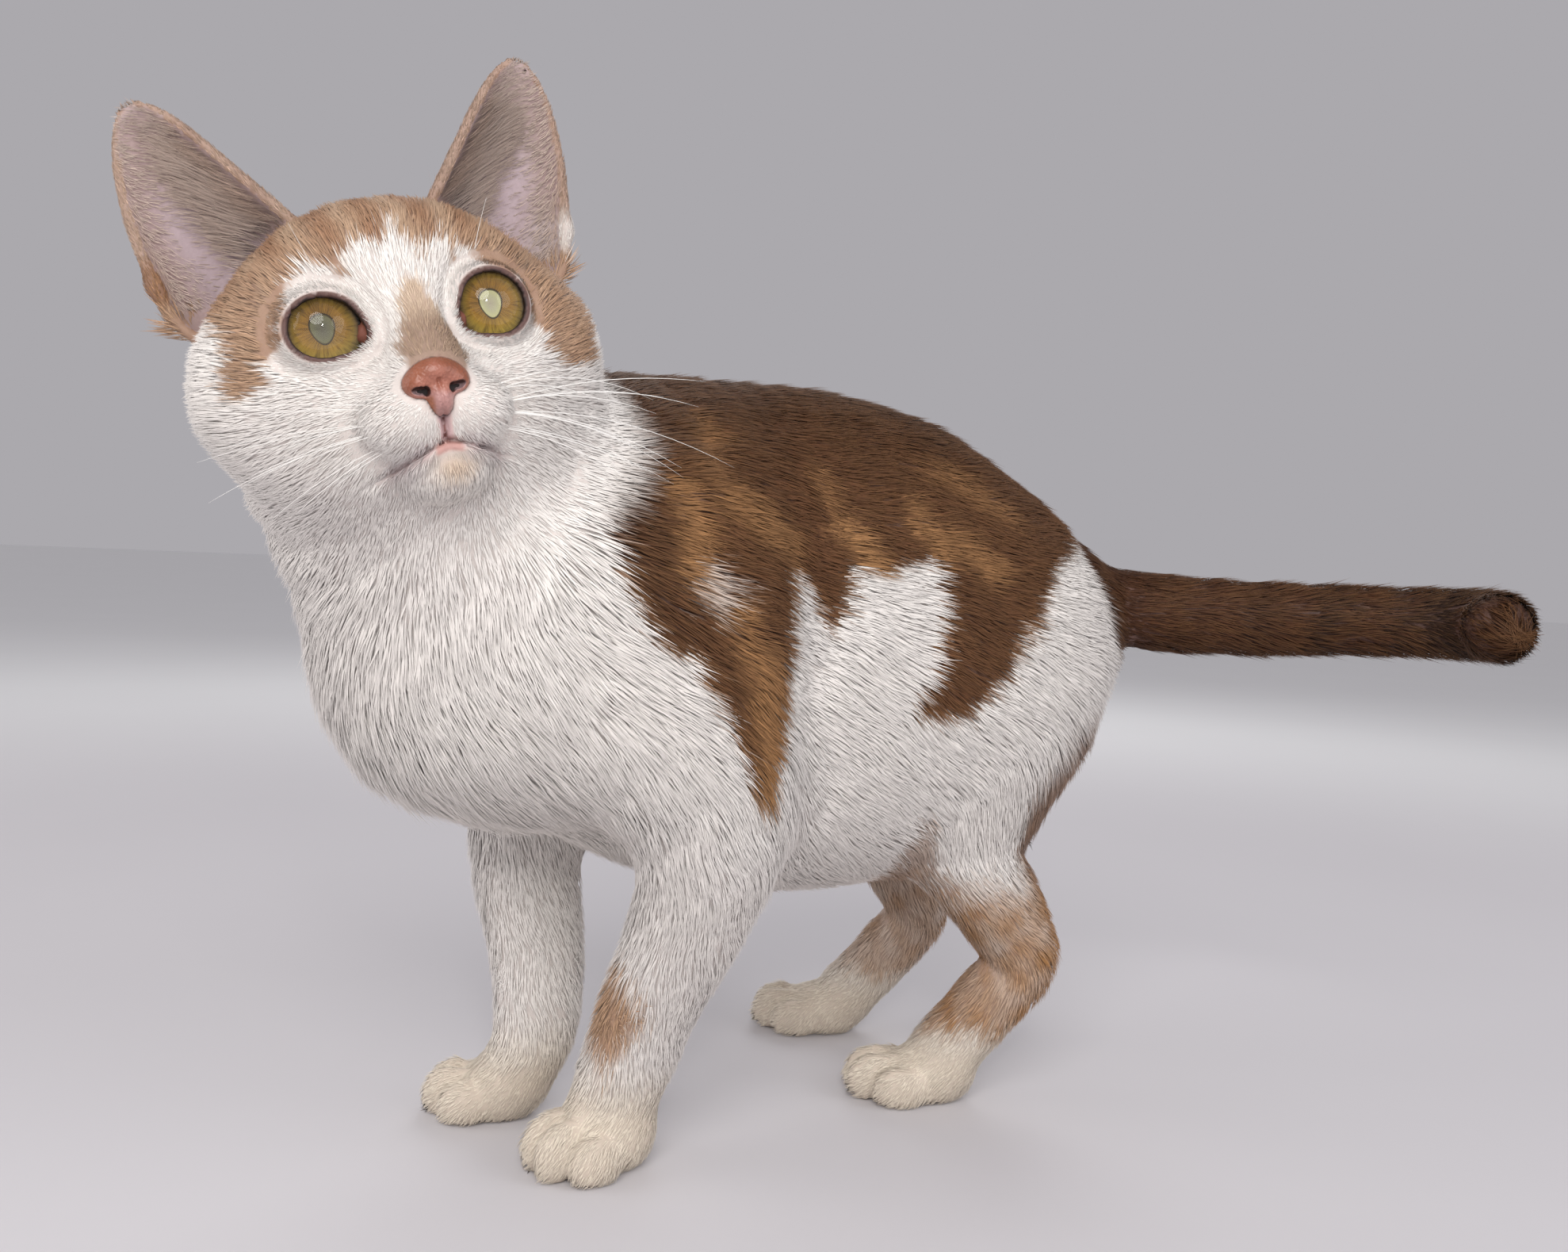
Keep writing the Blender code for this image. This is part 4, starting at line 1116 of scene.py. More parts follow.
def lie_of(points, local, normals, ear):
    """The way the coat lies, along the surface."""
    ear_in, across, _, on_ear = ear
    from_nose = unit_rows(local - (0, -13, -16)) @ TURN.T
    far = np.linalg.norm(local - HEAD_MIDDLE, axis=-1)
    lie = np.tile((0.05, 1.0, -0.22), (len(points), 1)) * smooth(far, 45, 90)[:, None]
    lie += from_nose * (0.15 + 2.2 * bell(np.clip(far - 30, 0, None), 38))[:, None]
    lie[:, 2] -= 0.5 * smooth(points[:, 2], 165, 120)
    for weight, way, _ in limb_weights(points).values():
        lie += way * (3.5 * weight)[:, None]
    for x, y, heading, *_ in PAWS.values():
        ahead = turned(heading, "Z") @ (0, -1, 0)
        near = smooth(np.hypot(points[:, 0] - x, points[:, 1] - y), 30, 18) * smooth(points[:, 2], 26, 12)
        lie += (ahead + (0, 0, -0.55)) * (7 * near)[:, None]
    swirl, fine = (
        np.stack([ripple(points, length, seed + axis) for axis in range(3)], -1)
        for length, seed in ((26, 20), (8, 30))
    )
    lie = unit_rows(lie) + 0.16 * swirl + 0.10 * fine
    if on_ear.any():
        side_across, rise, _ = ear_place(local[:1])["frame"]
        sign = np.where(local[on_ear, :1] < 0, -1, 1) * (1, 0, 0) + (0, 1, 1)
        inner = ear_in[on_ear][:, None]
        sideways = side_across * (inner * (0.55 + 1.1 * smooth(across[on_ear], -0.8, 0.3)[:, None]))
        lie[on_ear] = ((rise + sideways) * sign) @ TURN.T + 0.12 * fine[on_ear]
    lie -= (lie * normals).sum(-1, keepdims=True) * normals
    return unit_rows(lie)


def growth(points, local, shown, ear):
    """Tufts for each square millimetre, their length, width and how steeply they rise."""
    ear_in, across, share, on_ear = ear
    z = points[:, 2]
    far = np.linalg.norm(local - HEAD_MIDDLE, axis=-1)
    from_nose = np.linalg.norm(local - (0, -12, -18), axis=-1)
    neck = smooth(far, 40, 66)
    length = 2.8 + 3.2 * smooth(from_nose, 14, 46) + 4.0 * neck
    length += 1.5 * neck * smooth(z, 196, 170) * smooth(points[:, 1], 10, -20)
    leg = smooth(z, 104, 62)
    paw = smooth(z, 30, 14)
    tail = smooth(toward_tail(points), 158, 166) * (z > 120)
    place, opening, away = eye_place(local)
    lids = smooth(away - opening, 7.5, 1.5) * (place[:, 2] > 0)
    for wanted, strength in ((5.8, leg), (3.0, paw), (10, tail), (1.7, lids)):
        length += (wanted - length) * strength
    length *= 1 - 0.35 * smooth(from_nose, 13, 7)
    width = 0.118 * np.sqrt(length) * (1 + 0.15 * leg)
    density = 9.4 / length**0.78
    density = density * (1 - 0.36 * leg * smooth(z, 14, 30) - 0.50 * leg * paw) * (1 - 0.2 * tail)
    rise = 7 + 3 * smooth(z, 120, 60) * smooth(z, 20, 60) + 2 * neck * smooth(z, 190, 160)
    outer = on_ear & (ear_in < 0.5)
    inner = on_ear & (ear_in >= 0.5)
    length[outer] = (3.0 - 1.2 * smooth(np.abs(across), 0.6, 0.95) - 1.0 * smooth(share, 0.7, 0.95))[outer]
    width[outer], density[outer], rise[outer] = 0.22, 4.0, 8
    medial = smooth(across, 0.15, -0.7)
    centre = smooth(np.abs(across - 0.15), 0.55, 0.2) * smooth(share, 0.62, 0.35)
    shorter = 1 - 0.45 * smooth(np.abs(across), 0.75, 0.95) - 0.3 * smooth(share, 0.8, 0.95)
    length[inner] = ((3.4 + 8.5 * medial * smooth(share, 0.85, 0.5)) * shorter)[inner]
    width[inner] = 0.15
    density[inner] = (2.9 + 1.2 * medial - 2.5 * centre)[inner]
    rise[inner] = (16 + 8 * medial)[inner]
    bald = smooth(shown, 0.35, 0.8) * ~on_ear
    leather = nose_body(local, both_sides(local)) < 0.7
    density = density * (1 - bald) * ~leather
    hidden = (np.sqrt((place**2).sum(-1)) < EYE_RADIUS + 0.8) & (away < opening + 1.5)
    density[hidden | (z < 1.2)] = 0
    belly = (far > 70) & (z < 72) & (z > 60) & (points[:, 1] > 20) & (points[:, 1] < 110)
    density[belly] *= 0.7
    return density, length, width, rise


def sampled(mesh, draw):
    """Root points spread over the skin as thickly as the coat grows there, with the way out at each."""
    mesh.calc_loop_triangles()
    corners = read(mesh.loop_triangles, "vertices", 3, np.int32)
    normals = read(mesh.vertex_normals, "vector").astype(float)
    spots = points_of(mesh)[corners]
    area = np.linalg.norm(np.cross(spots[:, 1] - spots[:, 0], spots[:, 2] - spots[:, 0]), axis=-1) / 2
    middle = spots.mean(1)
    local = in_head(middle)
    shown, _, ear = bare(local)
    density = growth(middle, local, shown, ear)[0]
    chosen = np.repeat(np.arange(len(area)), draw.poisson(area * density * COAT_DENSITY))
    mix = draw.dirichlet((1, 1, 1), len(chosen))
    roots = (spots[chosen] * mix[..., None]).sum(1)
    way_out = unit_rows((normals[corners[chosen]] * mix[..., None]).sum(1))
    return roots, way_out


# A tuft's faces by its five points, which are the root, left, top, right and tip; their brightness, darker at
# the root as painted shade deep in the coat; and their places.
TUFT_FACES = np.array(((2, 1, 0), (3, 2, 0), (1, 3, 0), (1, 2, 4), (2, 3, 4), (3, 1, 4)))
TUFT_PAINTED_SHADE = np.array((0.90, 0.99, 1.0, 0.99, 1.03))
TUFT_SPREAD = np.array(((0, 0), (-0.4, 0.4), (0, 0.5), (0.4, 0.4), (0, 1.0)))


def tuft_mesh(name, draw, roots, out, lie, length, width, rise, colours, tips, places, thin):
    """One joined mesh of tufts: each has a root, three corners where it is widest and a tip."""
    count = len(roots)
    angle = np.radians(rise * draw.uniform(0.6, 1.4, count))[:, None]
    turn = draw.normal(0, 0.10, count)[:, None]
    ahead = unit_rows(lie + np.cross(out, lie) * turn)
    long = length[:, None] * draw.uniform(0.75, 1.25, count)[:, None]
    tip = roots + long * (ahead * np.cos(angle) + out * np.sin(angle))
    # The tips of one lock draw together.
    size = np.where(length > 6, 4.6, np.where(length > 3.4, 2.6, 1.6))[:, None]
    cell = np.floor((roots + draw.uniform(-0.35, 0.35, roots.shape) * size) / size).astype(np.int64)
    _, lock = np.unique(cell @ (1, 4096, 4096 * 4096), return_inverse=True)
    lock = lock.reshape(-1)
    members = np.bincount(lock)
    share = np.stack([np.bincount(lock, tip[:, a]) / members for a in range(3)], -1)[lock]
    tip += (share - tip) * draw.uniform(0.0, 0.30, count)[:, None]
    along = unit_rows(tip - roots)
    side = unit_rows(np.cross(out, along))
    top = np.cross(along, side)
    belly = roots + (tip - roots) * 0.42 + out * (0.025 * long)
    half = (width / 2)[:, None] * draw.uniform(0.75, 1.3, count)[:, None]
    sunk = roots - out * np.minimum(0.45, 0.12 * long)
    points = np.stack([sunk, belly + side * half, belly + top * half * 0.5, belly - side * half, tip], 1)
    points[..., 2] = np.maximum(points[..., 2], SOLE)
    corners = (TUFT_FACES + (np.arange(count) * 5)[:, None, None]).reshape(-1)
    mesh = bpy.data.meshes.new(name)
    mesh.vertices.add(count * 5)
    write(mesh.vertices, "co", metres(points))
    mesh.loops.add(len(corners))
    write(mesh.loops, "vertex_index", corners, np.int32)
    mesh.polygons.add(len(corners) // 3)
    write(mesh.polygons, "loop_start", np.arange(0, len(corners), 3), np.int32)
    mesh.update(calc_edges=True)
    mesh.shade_smooth()
    # Each tuft's colour, darkened at its root as painted shade.
    shades = colours[:, None, :] * TUFT_PAINTED_SHADE[:, None]
    shades[:, 4] = tips
    painted(mesh, shades.reshape(-1, 3))
    flat = (places[:, None, :] + TUFT_SPREAD * ATLAS_PATCH).reshape(-1, 2)[corners]
    write(mesh.uv_layers.new(name="OFBake").data, "uv", flat)
    # Where the body is thin, tufts of the far side show past its edge, so their normals turn toward their tips.
    facing = out * (1 - 0.6 * thin)[:, None] + along * (0.12 + 0.9 * thin)[:, None]
    leaning = unit_rows(facing[:, None, :] + np.stack([out, side, top, -side, along], 1) * 0.32)
    mesh.normals_split_custom_set_from_vertices(leaning.reshape(-1, 3).astype(np.float32))
    return linked(name, mesh)


# The share of the full coat that is grown, and the most tufts in one piece.
COAT_DENSITY, MOST_TUFTS = 0.96, 33000
COAT_PARTS = (
    # name of the piece, its slot
    ("coat_head", "white_coat"),
    ("coat_ears", "ginger_coat"),
    ("coat_neck", "white_coat"),
    ("coat_trunk", "white_coat"),
    ("coat_legs", "white_coat"),
    ("coat_paws", "cream_coat"),
    ("coat_tail", "ginger_coat"),
)


def build_coat(skin):
    """The coat's pieces, each with its slot."""
    draw = np.random.default_rng(11)
    roots, out = sampled(skin.data, draw)
    local = in_head(roots)
    shown, _, ear = bare(local)
    ear_in, across, _, on_ear = ear
    _, length, width, rise = growth(roots, local, shown, ear)
    lie = lie_of(roots, local, out, ear)
    middle = roots + lie * (0.5 * length)[:, None]
    middle[on_ear] = roots[on_ear]
    colours = coat_colours(middle, in_head(middle), draw.normal(0, 1.5, len(roots)))
    inner = on_ear & (ear_in >= 0.5)
    colours[inner] = blend(EAR_HAIR, EAR_RIM, smooth(np.abs(across[inner]), 0.72, 1.0))
    dark = smooth(colours.mean(1), 0.60, 0.12)
    vary = draw.normal(0, 1, len(roots)) * (0.02 + 0.14 * dark + 0.06 * on_ear)
    colours = colours * np.exp(vary)[:, None]
    # The tips a touch lighter, painted light at the top of the coat against the shaded roots; on dark fur they
    # also turn pale like the bars.
    tips = blend(colours * 1.04, BAR * draw.uniform(0.55, 1.25, len(roots))[:, None], 0.30 * dark)
    length = length * (1 + 0.15 * ripple(roots, 14, 40))
    rise = rise * (1 + 0.30 * ripple(roots, 11, 41))
    place, opening, away = eye_place(local)
    thin = np.maximum(on_ear, smooth(away - opening, 3.5, 2.0) * (place[:, 2] > 0))
    rows = (roots, out, lie, length, width, rise, colours, tips, atlas(roots, local), thin)
    far = np.linalg.norm(local - HEAD_MIDDLE, axis=-1)
    # Each root's part, by its place in COAT_PARTS.
    part = np.full(len(roots), 3)
    for index, chosen in (
        (2, far < 72), (0, far < 50), (1, on_ear), (4, (roots[:, 2] < 84) & (far >= 72)),
        (5, (roots[:, 2] < 24) & (far >= 72)), (6, (toward_tail(roots) > 162) & (roots[:, 2] > 120)),
    ):
        part[chosen] = index
    pieces = []
    for index, (name, slot) in enumerate(COAT_PARTS):
        chosen = np.flatnonzero(part == index)
        order = np.argsort(local[chosen, 0] if index < 3 else roots[chosen, 1], kind="stable")
        count = int(np.ceil(len(chosen) / MOST_TUFTS))
        for number, some in enumerate(np.array_split(chosen[order], count), 1):
            label = name if count == 1 else f"{name}_{number}"
            pieces.append((tuft_mesh(label, draw, *(row[some] for row in rows)), slot))
    return pieces


# Eyes, nose, whiskers


def gaze_frame(side):
    """The columns of eye_frame, turned so that the eye looks out through the middle of the lids' opening."""
    across, up = OPENING_SHIFT[int(side > 0)] * (side, 1)
    look = unit(eye_frame(side) @ (across, up, sqrt(EYE_RADIUS**2 - across**2 - up**2)))
    return frame_along(look)


def dome(name, profile, side, turns=96):
    """A turned body about the way an eye looks, from rows of radius and place ahead."""
    rows = np.array(profile, float)
    angles = np.arange(turns) * 2 * pi / turns
    ring = np.stack([np.cos(angles), np.sin(angles)], -1)
    points = np.concatenate(
        [np.column_stack([radius * ring, np.full(turns, ahead)]) for radius, ahead in rows[1:-1]]
        + [((0, 0, rows[0, 1]), (0, 0, rows[-1, 1]))]
    )
    count = len(rows) - 2
    first, last = count * turns, count * turns + 1
    faces = []
    for k in range(turns):
        after = (k + 1) % turns
        faces.append((first, after, k))
        for row in range(count - 1):
            a, b = row * turns + k, row * turns + after
            faces.append((a, b, b + turns, a + turns))
        faces.append((last, (count - 1) * turns + k, (count - 1) * turns + after))
    centre = np.array((side * EYE[0], EYE[1], EYE[2]))
    return dressed(name, head_placed(points @ gaze_frame(side).T + centre), faces)


# The iris's radius and how far ahead of the eye's middle it lies, and how thick the clear wall is.
IRIS_RADIUS, IRIS_AHEAD = 7.75, 5.0
CORNEA_WALL = 0.25
# How bright the flash makes each pupil, and half the pupils' width and height.
PUPIL_SHINE = {"left": 1.05, "right": 0.33}
PUPIL_HALF = (2.15, 2.75)


def eye_profiles():
    """Rows of radius and place ahead for the inner ball with its iris, and for the clear outer one."""
    inner_radius = EYE_RADIUS - CORNEA_WALL
    meet = sqrt(inner_radius**2 - IRIS_RADIUS**2)
    back = [(inner_radius * sin(t), -inner_radius * cos(t)) for t in np.linspace(0, pi, 40)]
    inner = [row for row in back if row[1] < meet]
    for t in np.linspace(1, 0, 26):
        inner.append((IRIS_RADIUS * t, IRIS_AHEAD + (meet - IRIS_AHEAD) * t**6 - 0.35 * (1 - t)))
    outer = []
    for t in np.linspace(0, pi, 60):
        radius, ahead = EYE_RADIUS * sin(t), -EYE_RADIUS * cos(t)
        lift = CORNEA_RADIUS**2 - radius**2
        if lift > 0 and ahead > 0:
            ahead = max(ahead, CORNEA_FORWARD + sqrt(lift))
        outer.append((radius, ahead))
    return inner, outer


def eye_attributes(obj, side):
    """Keeps each point's place sideways, up and ahead of the eye's middle, where the iris reads it."""
    points = in_head(points_of(obj.data)) - (side * EYE[0], EYE[1], EYE[2])
    layer = obj.data.attributes.new("gaze", "FLOAT_VECTOR", "POINT")
    write(layer.data, "vector", points @ gaze_frame(side))


NOSE_GRID = 0.22


def build_nose():
    """The bare nose on a fine grid of its own."""
    _, y, z = NOSE
    axes = [np.arange(low, high, NOSE_GRID) for low, high in ((-9.0, 9.0), (y - 4, y + 9), (z - 9, z + 8))]
    value = bare_nose(lattice(axes))
    close_border(value, NOSE_GRID)
    points, faces = surface_net(axes, value)
    return largest(dressed("nose_skin", head_placed(points), faces))


def nose_body(points, mirrored):
    """The bare nose without its nostrils: the top, the wings and the column below them."""
    _, y, z = NOSE
    value = ball_distance(points, (0, y + 2.4, z + 2.3), (5.0, 4.4, 3.1))
    value = smooth_min(value, ball_distance(mirrored, (3.7, y + 3.0, z + 0.3), (3.3, 4.0, 3.2)), 1.4)
    return smooth_min(value, ball_distance(points, (0, y + 2.2, z - 2.9), (2.7, 3.7, 3.9)), 1.6)


def nostril(mirrored):
    """The distance to a nostril's hollow: its roof arches outward from beside the column."""
    _, y, z = NOSE
    hollow = ball_distance(mirrored, (3.9, y + 0.1, z - 1.1), (1.7, 1.5, 0.85), turned(-8, "Y"))
    return smooth_min(hollow, ball_distance(mirrored, (2.75, y, z - 1.4), (0.7, 1.9, 1.0)), 0.4)


def bare_nose(points):
    """The nose leather with its nostrils, their wings and the cleft, in the head's frame."""
    mirrored = both_sides(points)
    x, y, z = points[..., 0], points[..., 1], points[..., 2]
    value = smooth_max(nose_body(points, mirrored), -nostril(mirrored), 0.4)
    value = value + 0.45 * bell(x, 0.45) * (z < NOSE[2] + 0.8)
    # Its fine pebbles.
    return value - np.sin(x * 6.5) * np.sin(z * 6.1 + y * 3) * 0.05


def nose_colours(local):
    """Brick pink with rusty upper edges, a pinker column, and in the nostrils a painted shadow under the roof
    over a grey floor.
    """
    mirrored = both_sides(local)
    side, x, up = mirrored[:, 0], local[:, 0], local[:, 2]
    z = NOSE[2]
    uneven = ripple(local, 5, 60)
    brick = blend(NOSE_BRICK, NOSE_PINK, smooth(up + 0.6 * uneven, z - 0.5, z - 3.5))
    upper = np.abs(x) * 0.9 + up - z + 0.8 * uneven
    brick = blend(brick, NOSE_RUST, smooth(upper, 2.5, 6))
    brick = blend(brick, NOSE_SHADE, smooth(x, -1.2, -2.2) * smooth(up, z - 2.0, z - 3.0))
    brick = brick * (1 + 0.12 * ripple(local, 3, 61))[:, None]
    # The nostrils: a painted shadow under their roof, over a grey floor.
    floor = smooth(up - 0.1 * (side - 3.9), z - 0.75, z - 1.35) * smooth(side, 2.9, 3.6)
    inside = blend(NOSTRIL_ROOF_SHADOW, NOSTRIL_FLOOR, floor)
    return blend(brick, inside, smooth(nostril(mirrored), 0.22, -0.05))


def strand(root, way, down, length, thick, bend, steps=12, sides=5):
    """Points and faces of one whisker: a tapered tube that curves, from a root, a way out and a way down."""
    along = np.linspace(0, 1, steps)
    middle = root + length * (along[:, None] * way + bend * along[:, None] ** 2 * down)
    tangent = unit_rows(np.gradient(middle, axis=0))
    side = unit_rows(np.cross(tangent, down + 0.001))
    top = np.cross(side, tangent)
    radius = thick / 2 * (1 - along) ** 0.7 + 0.02
    angles = np.arange(sides) * 2 * pi / sides
    ring = np.cos(angles)[:, None, None] * side + np.sin(angles)[:, None, None] * top
    points = (middle + ring * radius[:, None]).transpose(1, 0, 2).reshape(-1, 3)
    faces = []
    for row in range(steps - 1):
        for k in range(sides):
            a, b = row * sides + k, row * sides + (k + 1) % sides
            faces.append((a, a + sides, b + sides, b))
    faces.append(tuple(range(sides)))
    faces.append(tuple(range(steps * sides - 1, (steps - 1) * sides - 1, -1)))
    return points, faces


WHISKER_ROWS = (
    # up, first and last place sideways, how many, length, lift of the row
    (-18.6, 8.0, 12.5, 3, 40, 0.26),
    (-21.4, 7.0, 14.0, 4, 56, 0.10),
    (-24.2, 7.0, 14.0, 4, 56, -0.06),
    (-26.8, 8.0, 12.0, 3, 42, -0.22),
)
WHISKER_SIDES = (
    # side, thickness, share of the length, least and most bend
    (1, 0.25, 1, (0.20, 0.42)),
    (-1, 0.15, 0.66, (0.10, 0.2)),
)
# Sideways, up and length of each hair over an eye.
BROW_HAIRS = ((17.0, 11.8, 10),)


def build_whiskers(distance):
    """The whiskers of both sides and a hair over each eye, as one mesh."""
    draw = np.random.default_rng(5)
    down = TURN @ (0, 0.12, -1)
    strands = []
    for side, thick, scale, bends in WHISKER_SIDES:
        for up, first, last, count, length, lift in WHISKER_ROWS:
            for share in np.linspace(0, 1, count):
                across = first + (last - first) * share + draw.uniform(-0.4, 0.4)
                guess = (side * across, -11 + 0.55 * across, up + draw.uniform(-0.4, 0.4))
                root, out = settled(head_placed([guess]), distance, rounds=4)
                way = unit(TURN @ (side, 0.28 - 0.45 * (1 - share), lift + draw.uniform(-0.07, 0.07)))
                long = length * draw.uniform(0.85, 1.1) * (0.72 + 0.28 * share) * scale
                strands.append(strand(root[0] - out[0], way, down, long, thick, draw.uniform(*bends)))
        for across, up, length in BROW_HAIRS:
            root, out = settled(head_placed([(side * across, 0.0, up)]), distance, rounds=4)
            way = unit(TURN @ (side * 0.35, -0.35, 1.0) + draw.normal(0, 0.08, 3))
            strands.append(strand(root[0] - out[0] * 0.6, way, -out[0], length, 0.09, -0.2))
    each = len(strands[0][0])
    faces = [
        tuple(number * each + corner for corner in face)
        for number, (_, own) in enumerate(strands)
        for face in own
    ]
    obj = dressed("whiskers", np.concatenate([points for points, _ in strands]), faces)
    loops = read(obj.data.loops, "vertex_index", 1, np.int32)[:, 0]
    spread = np.stack([(loops // each + 0.3) / len(strands), (loops % each) / each], -1)
    write(obj.data.uv_layers.new(name="OFBake").data, "uv", spread)
    return obj


# Materials


def material(name, roughness, **constants):
    """A material with its tree and its shader, whose constants are set by the sockets' names."""
    made = bpy.data.materials.new(name)
    made.use_nodes = True
    shader = made.node_tree.nodes["Principled BSDF"]
    for key, value in {"Roughness": roughness, **constants}.items():
        shader.inputs[key.replace("_", " ")].default_value = value
    return made, made.node_tree, shader


def node(tree, kind, **settings):
    made = tree.nodes.new(kind)
    for key, value in settings.items():
        if key in made.inputs:
            made.inputs[key].default_value = value
        else:
            setattr(made, key, value)
    return made


def feed(tree, value, socket):
    """Gives a socket a number, a colour or what another node puts out."""
    if isinstance(value, bpy.types.NodeSocket):
        tree.links.new(value, socket)
    else:
        socket.default_value = (*value, 1) if np.ndim(value) else value


def math_node(tree, operation, *values):
    made = node(tree, "ShaderNodeMath", operation=operation)
    for value, socket in zip(values, made.inputs):
        feed(tree, value, socket)
    return made.outputs[0]


def length_node(tree, a, b):
    """The square root of the sum of two squares."""
    squares = [math_node(tree, "MULTIPLY", value, value) for value in (a, b)]
    return math_node(tree, "POWER", math_node(tree, "ADD", *squares), 0.5)


def ranged(tree, value, low, high, to_low=0.0, to_high=1.0, **settings):
    """The value's place between low and high, taken to the second range."""
    made = node(tree, "ShaderNodeMapRange", **settings)
    for key, limit in zip(("From Min", "From Max", "To Min", "To Max"), (low, high, to_low, to_high)):
        made.inputs[key].default_value = limit
    tree.links.new(value, made.inputs["Value"])
    return made.outputs["Result"]


def ramp(tree, factor, stops):
    made = node(tree, "ShaderNodeValToRGB")
    band = made.color_ramp
    while len(band.elements) < len(stops):
        band.elements.new(0.5)
    for element, (place, shade) in zip(band.elements, stops):
        element.position = place
        element.color = (*shade, 1)
    tree.links.new(factor, made.inputs["Fac"])
    return made.outputs["Color"]


def mixed(tree, a, b, factor, blend_type="MIX"):
    mix = node(tree, "ShaderNodeMix", data_type="RGBA", blend_type=blend_type)
    for value, place in ((factor, 0), (a, 6), (b, 7)):
        feed(tree, value, mix.inputs[place])
    return mix.outputs[2]


def speckled(tree, shader, source, scale, low, high):
    """Colours a shader with the source, made lighter and darker by fine noise, and gives the noise."""
    space = node(tree, "ShaderNodeTexCoord")
    noise = node(tree, "ShaderNodeTexNoise", Scale=scale, Detail=4.0, Roughness=0.6)
    tree.links.new(space.outputs["Object"], noise.inputs["Vector"])
    spread = ranged(tree, noise.outputs["Fac"], 0.0, 1.0, low, high)
    tree.links.new(mixed(tree, source, spread, 1.0, "MULTIPLY"), shader.inputs["Base Color"])
    return noise.outputs["Fac"]


def rgb(tree, *shade):
    made = node(tree, "ShaderNodeRGB")
    made.outputs[0].default_value = (*shade, 1)
    return made.outputs[0]


def coat_source(tree):
    """The colours that painted keeps."""
    return node(tree, "ShaderNodeAttribute", attribute_name="coat").outputs["Color"]


def bumped(tree, shader, height, strength, distance):
    bump = node(tree, "ShaderNodeBump", Strength=strength, Distance=distance)
    tree.links.new(height, bump.inputs["Height"])
    tree.links.new(bump.outputs["Normal"], shader.inputs["Normal"])


def fur_material():
    made, tree, shader = material("fur", 0.62, Specular_IOR_Level=0.18)
    speckled(tree, shader, coat_source(tree), 700, 0.90, 1.08)
    return made


def skin_material():
    made, tree, shader = material("skin", 0.6, Specular_IOR_Level=0.35)
    grain = speckled(tree, shader, coat_source(tree), 900, 0.84, 1.10)
    bumped(tree, shader, grain, 0.35, 0.0004)
    return made


def nose_material():
    made, tree, shader = material(
        "nose_leather", 0.42, Specular_IOR_Level=0.5, Coat_Weight=0.25, Coat_Roughness=0.3)
    speckled(tree, shader, coat_source(tree), 1400, 0.85, 1.12)
    space = node(tree, "ShaderNodeTexCoord")
    pores = node(tree, "ShaderNodeTexVoronoi", Scale=1500.0)
    tree.links.new(space.outputs["Object"], pores.inputs["Vector"])
    bumped(tree, shader, pores.outputs["Distance"], 0.5, 0.0003)
    return made


def whisker_material():
    made, tree, shader = material("whisker", 0.35)
    speckled(tree, shader, rgb(tree, 0.88, 0.86, 0.82), 60, 0.92, 1.05)
    return made


def cornea_material():
    made, tree, shader = material("cornea", 0.0, Transmission_Weight=1, IOR=1.376)
    speckled(tree, shader, rgb(tree, 1.0, 0.99, 0.97), 90, 0.985, 1.0)
    return made


def eye_material(word):
    """Amber iris with fibres that run outward, a dark rim and an upright oval pupil with its shine."""
    made, tree, shader = material(f"iris_{word}", 0.5, Specular_IOR_Level=0.25)
    gaze = node(tree, "ShaderNodeAttribute", attribute_name="gaze")
    parts = node(tree, "ShaderNodeSeparateXYZ")
    tree.links.new(gaze.outputs["Vector"], parts.inputs[0])
    across, up, ahead = parts.outputs
    share = math_node(tree, "DIVIDE", length_node(tree, across, up), IRIS_RADIUS)
    angle = math_node(tree, "ARCTAN2", up, across)
    join = node(tree, "ShaderNodeCombineXYZ")
    for place, (value, scale) in enumerate((
        (math_node(tree, "SINE", angle), 8.0), (math_node(tree, "COSINE", angle), 8.0), (share, 1.6),
    )):
        tree.links.new(math_node(tree, "MULTIPLY", value, scale), join.inputs[place])
    fibres = node(tree, "ShaderNodeTexNoise", Scale=1.6, Detail=5.0, Roughness=0.7)
    tree.links.new(join.outputs[0], fibres.inputs["Vector"])
    base = ramp(tree, share, (
        (0.34, colour(114, 84, 27)), (0.50, colour(127, 94, 29)), (0.70, colour(120, 97, 33)),
        (0.82, colour(104, 84, 44)), (0.90, colour(60, 46, 28)), (0.95, colour(12, 8, 6)),
    ))
    base = mixed(tree, base, colour(142, 124, 42), ranged(tree, up, -1.0, -6.0, 0.0, 0.55))
    streak = ramp(tree, fibres.outputs["Fac"], (
        (0.36, (0.30, 0.24, 0.18)), (0.50, (0.84, 0.80, 0.72)), (0.64, (1.15, 1.1, 1.0)),
    ))
    iris = mixed(tree, base, streak, 0.75, "MULTIPLY")
    taper = math_node(tree, "ADD", math_node(tree, "MULTIPLY", up, 0.09), 1.0)
    wide = math_node(tree, "DIVIDE", math_node(tree, "DIVIDE", across, PUPIL_HALF[0]), taper)
    oval = length_node(tree, wide, math_node(tree, "DIVIDE", up, PUPIL_HALF[1]))
    glow = PUPIL_SHINE[word]
    pupil = ramp(tree, oval, (
        (0.0, colour(134, 128, 112) * glow), (0.55, colour(144, 142, 114) * glow),
        (0.84, colour(154, 152, 112) * glow), (0.90, colour(64, 54, 30)), (0.96, colour(16, 11, 7)),
    ))
    whole = mixed(tree, pupil, iris, ranged(tree, oval, 0.97, 1.03))
    final = mixed(tree, colour(40, 26, 20), whole, ranged(tree, ahead, 3.6, 4.1))
    tree.links.new(final, shader.inputs["Base Color"])
    bumped(tree, shader, fibres.outputs["Fac"], 0.3, 0.0003)
    return made


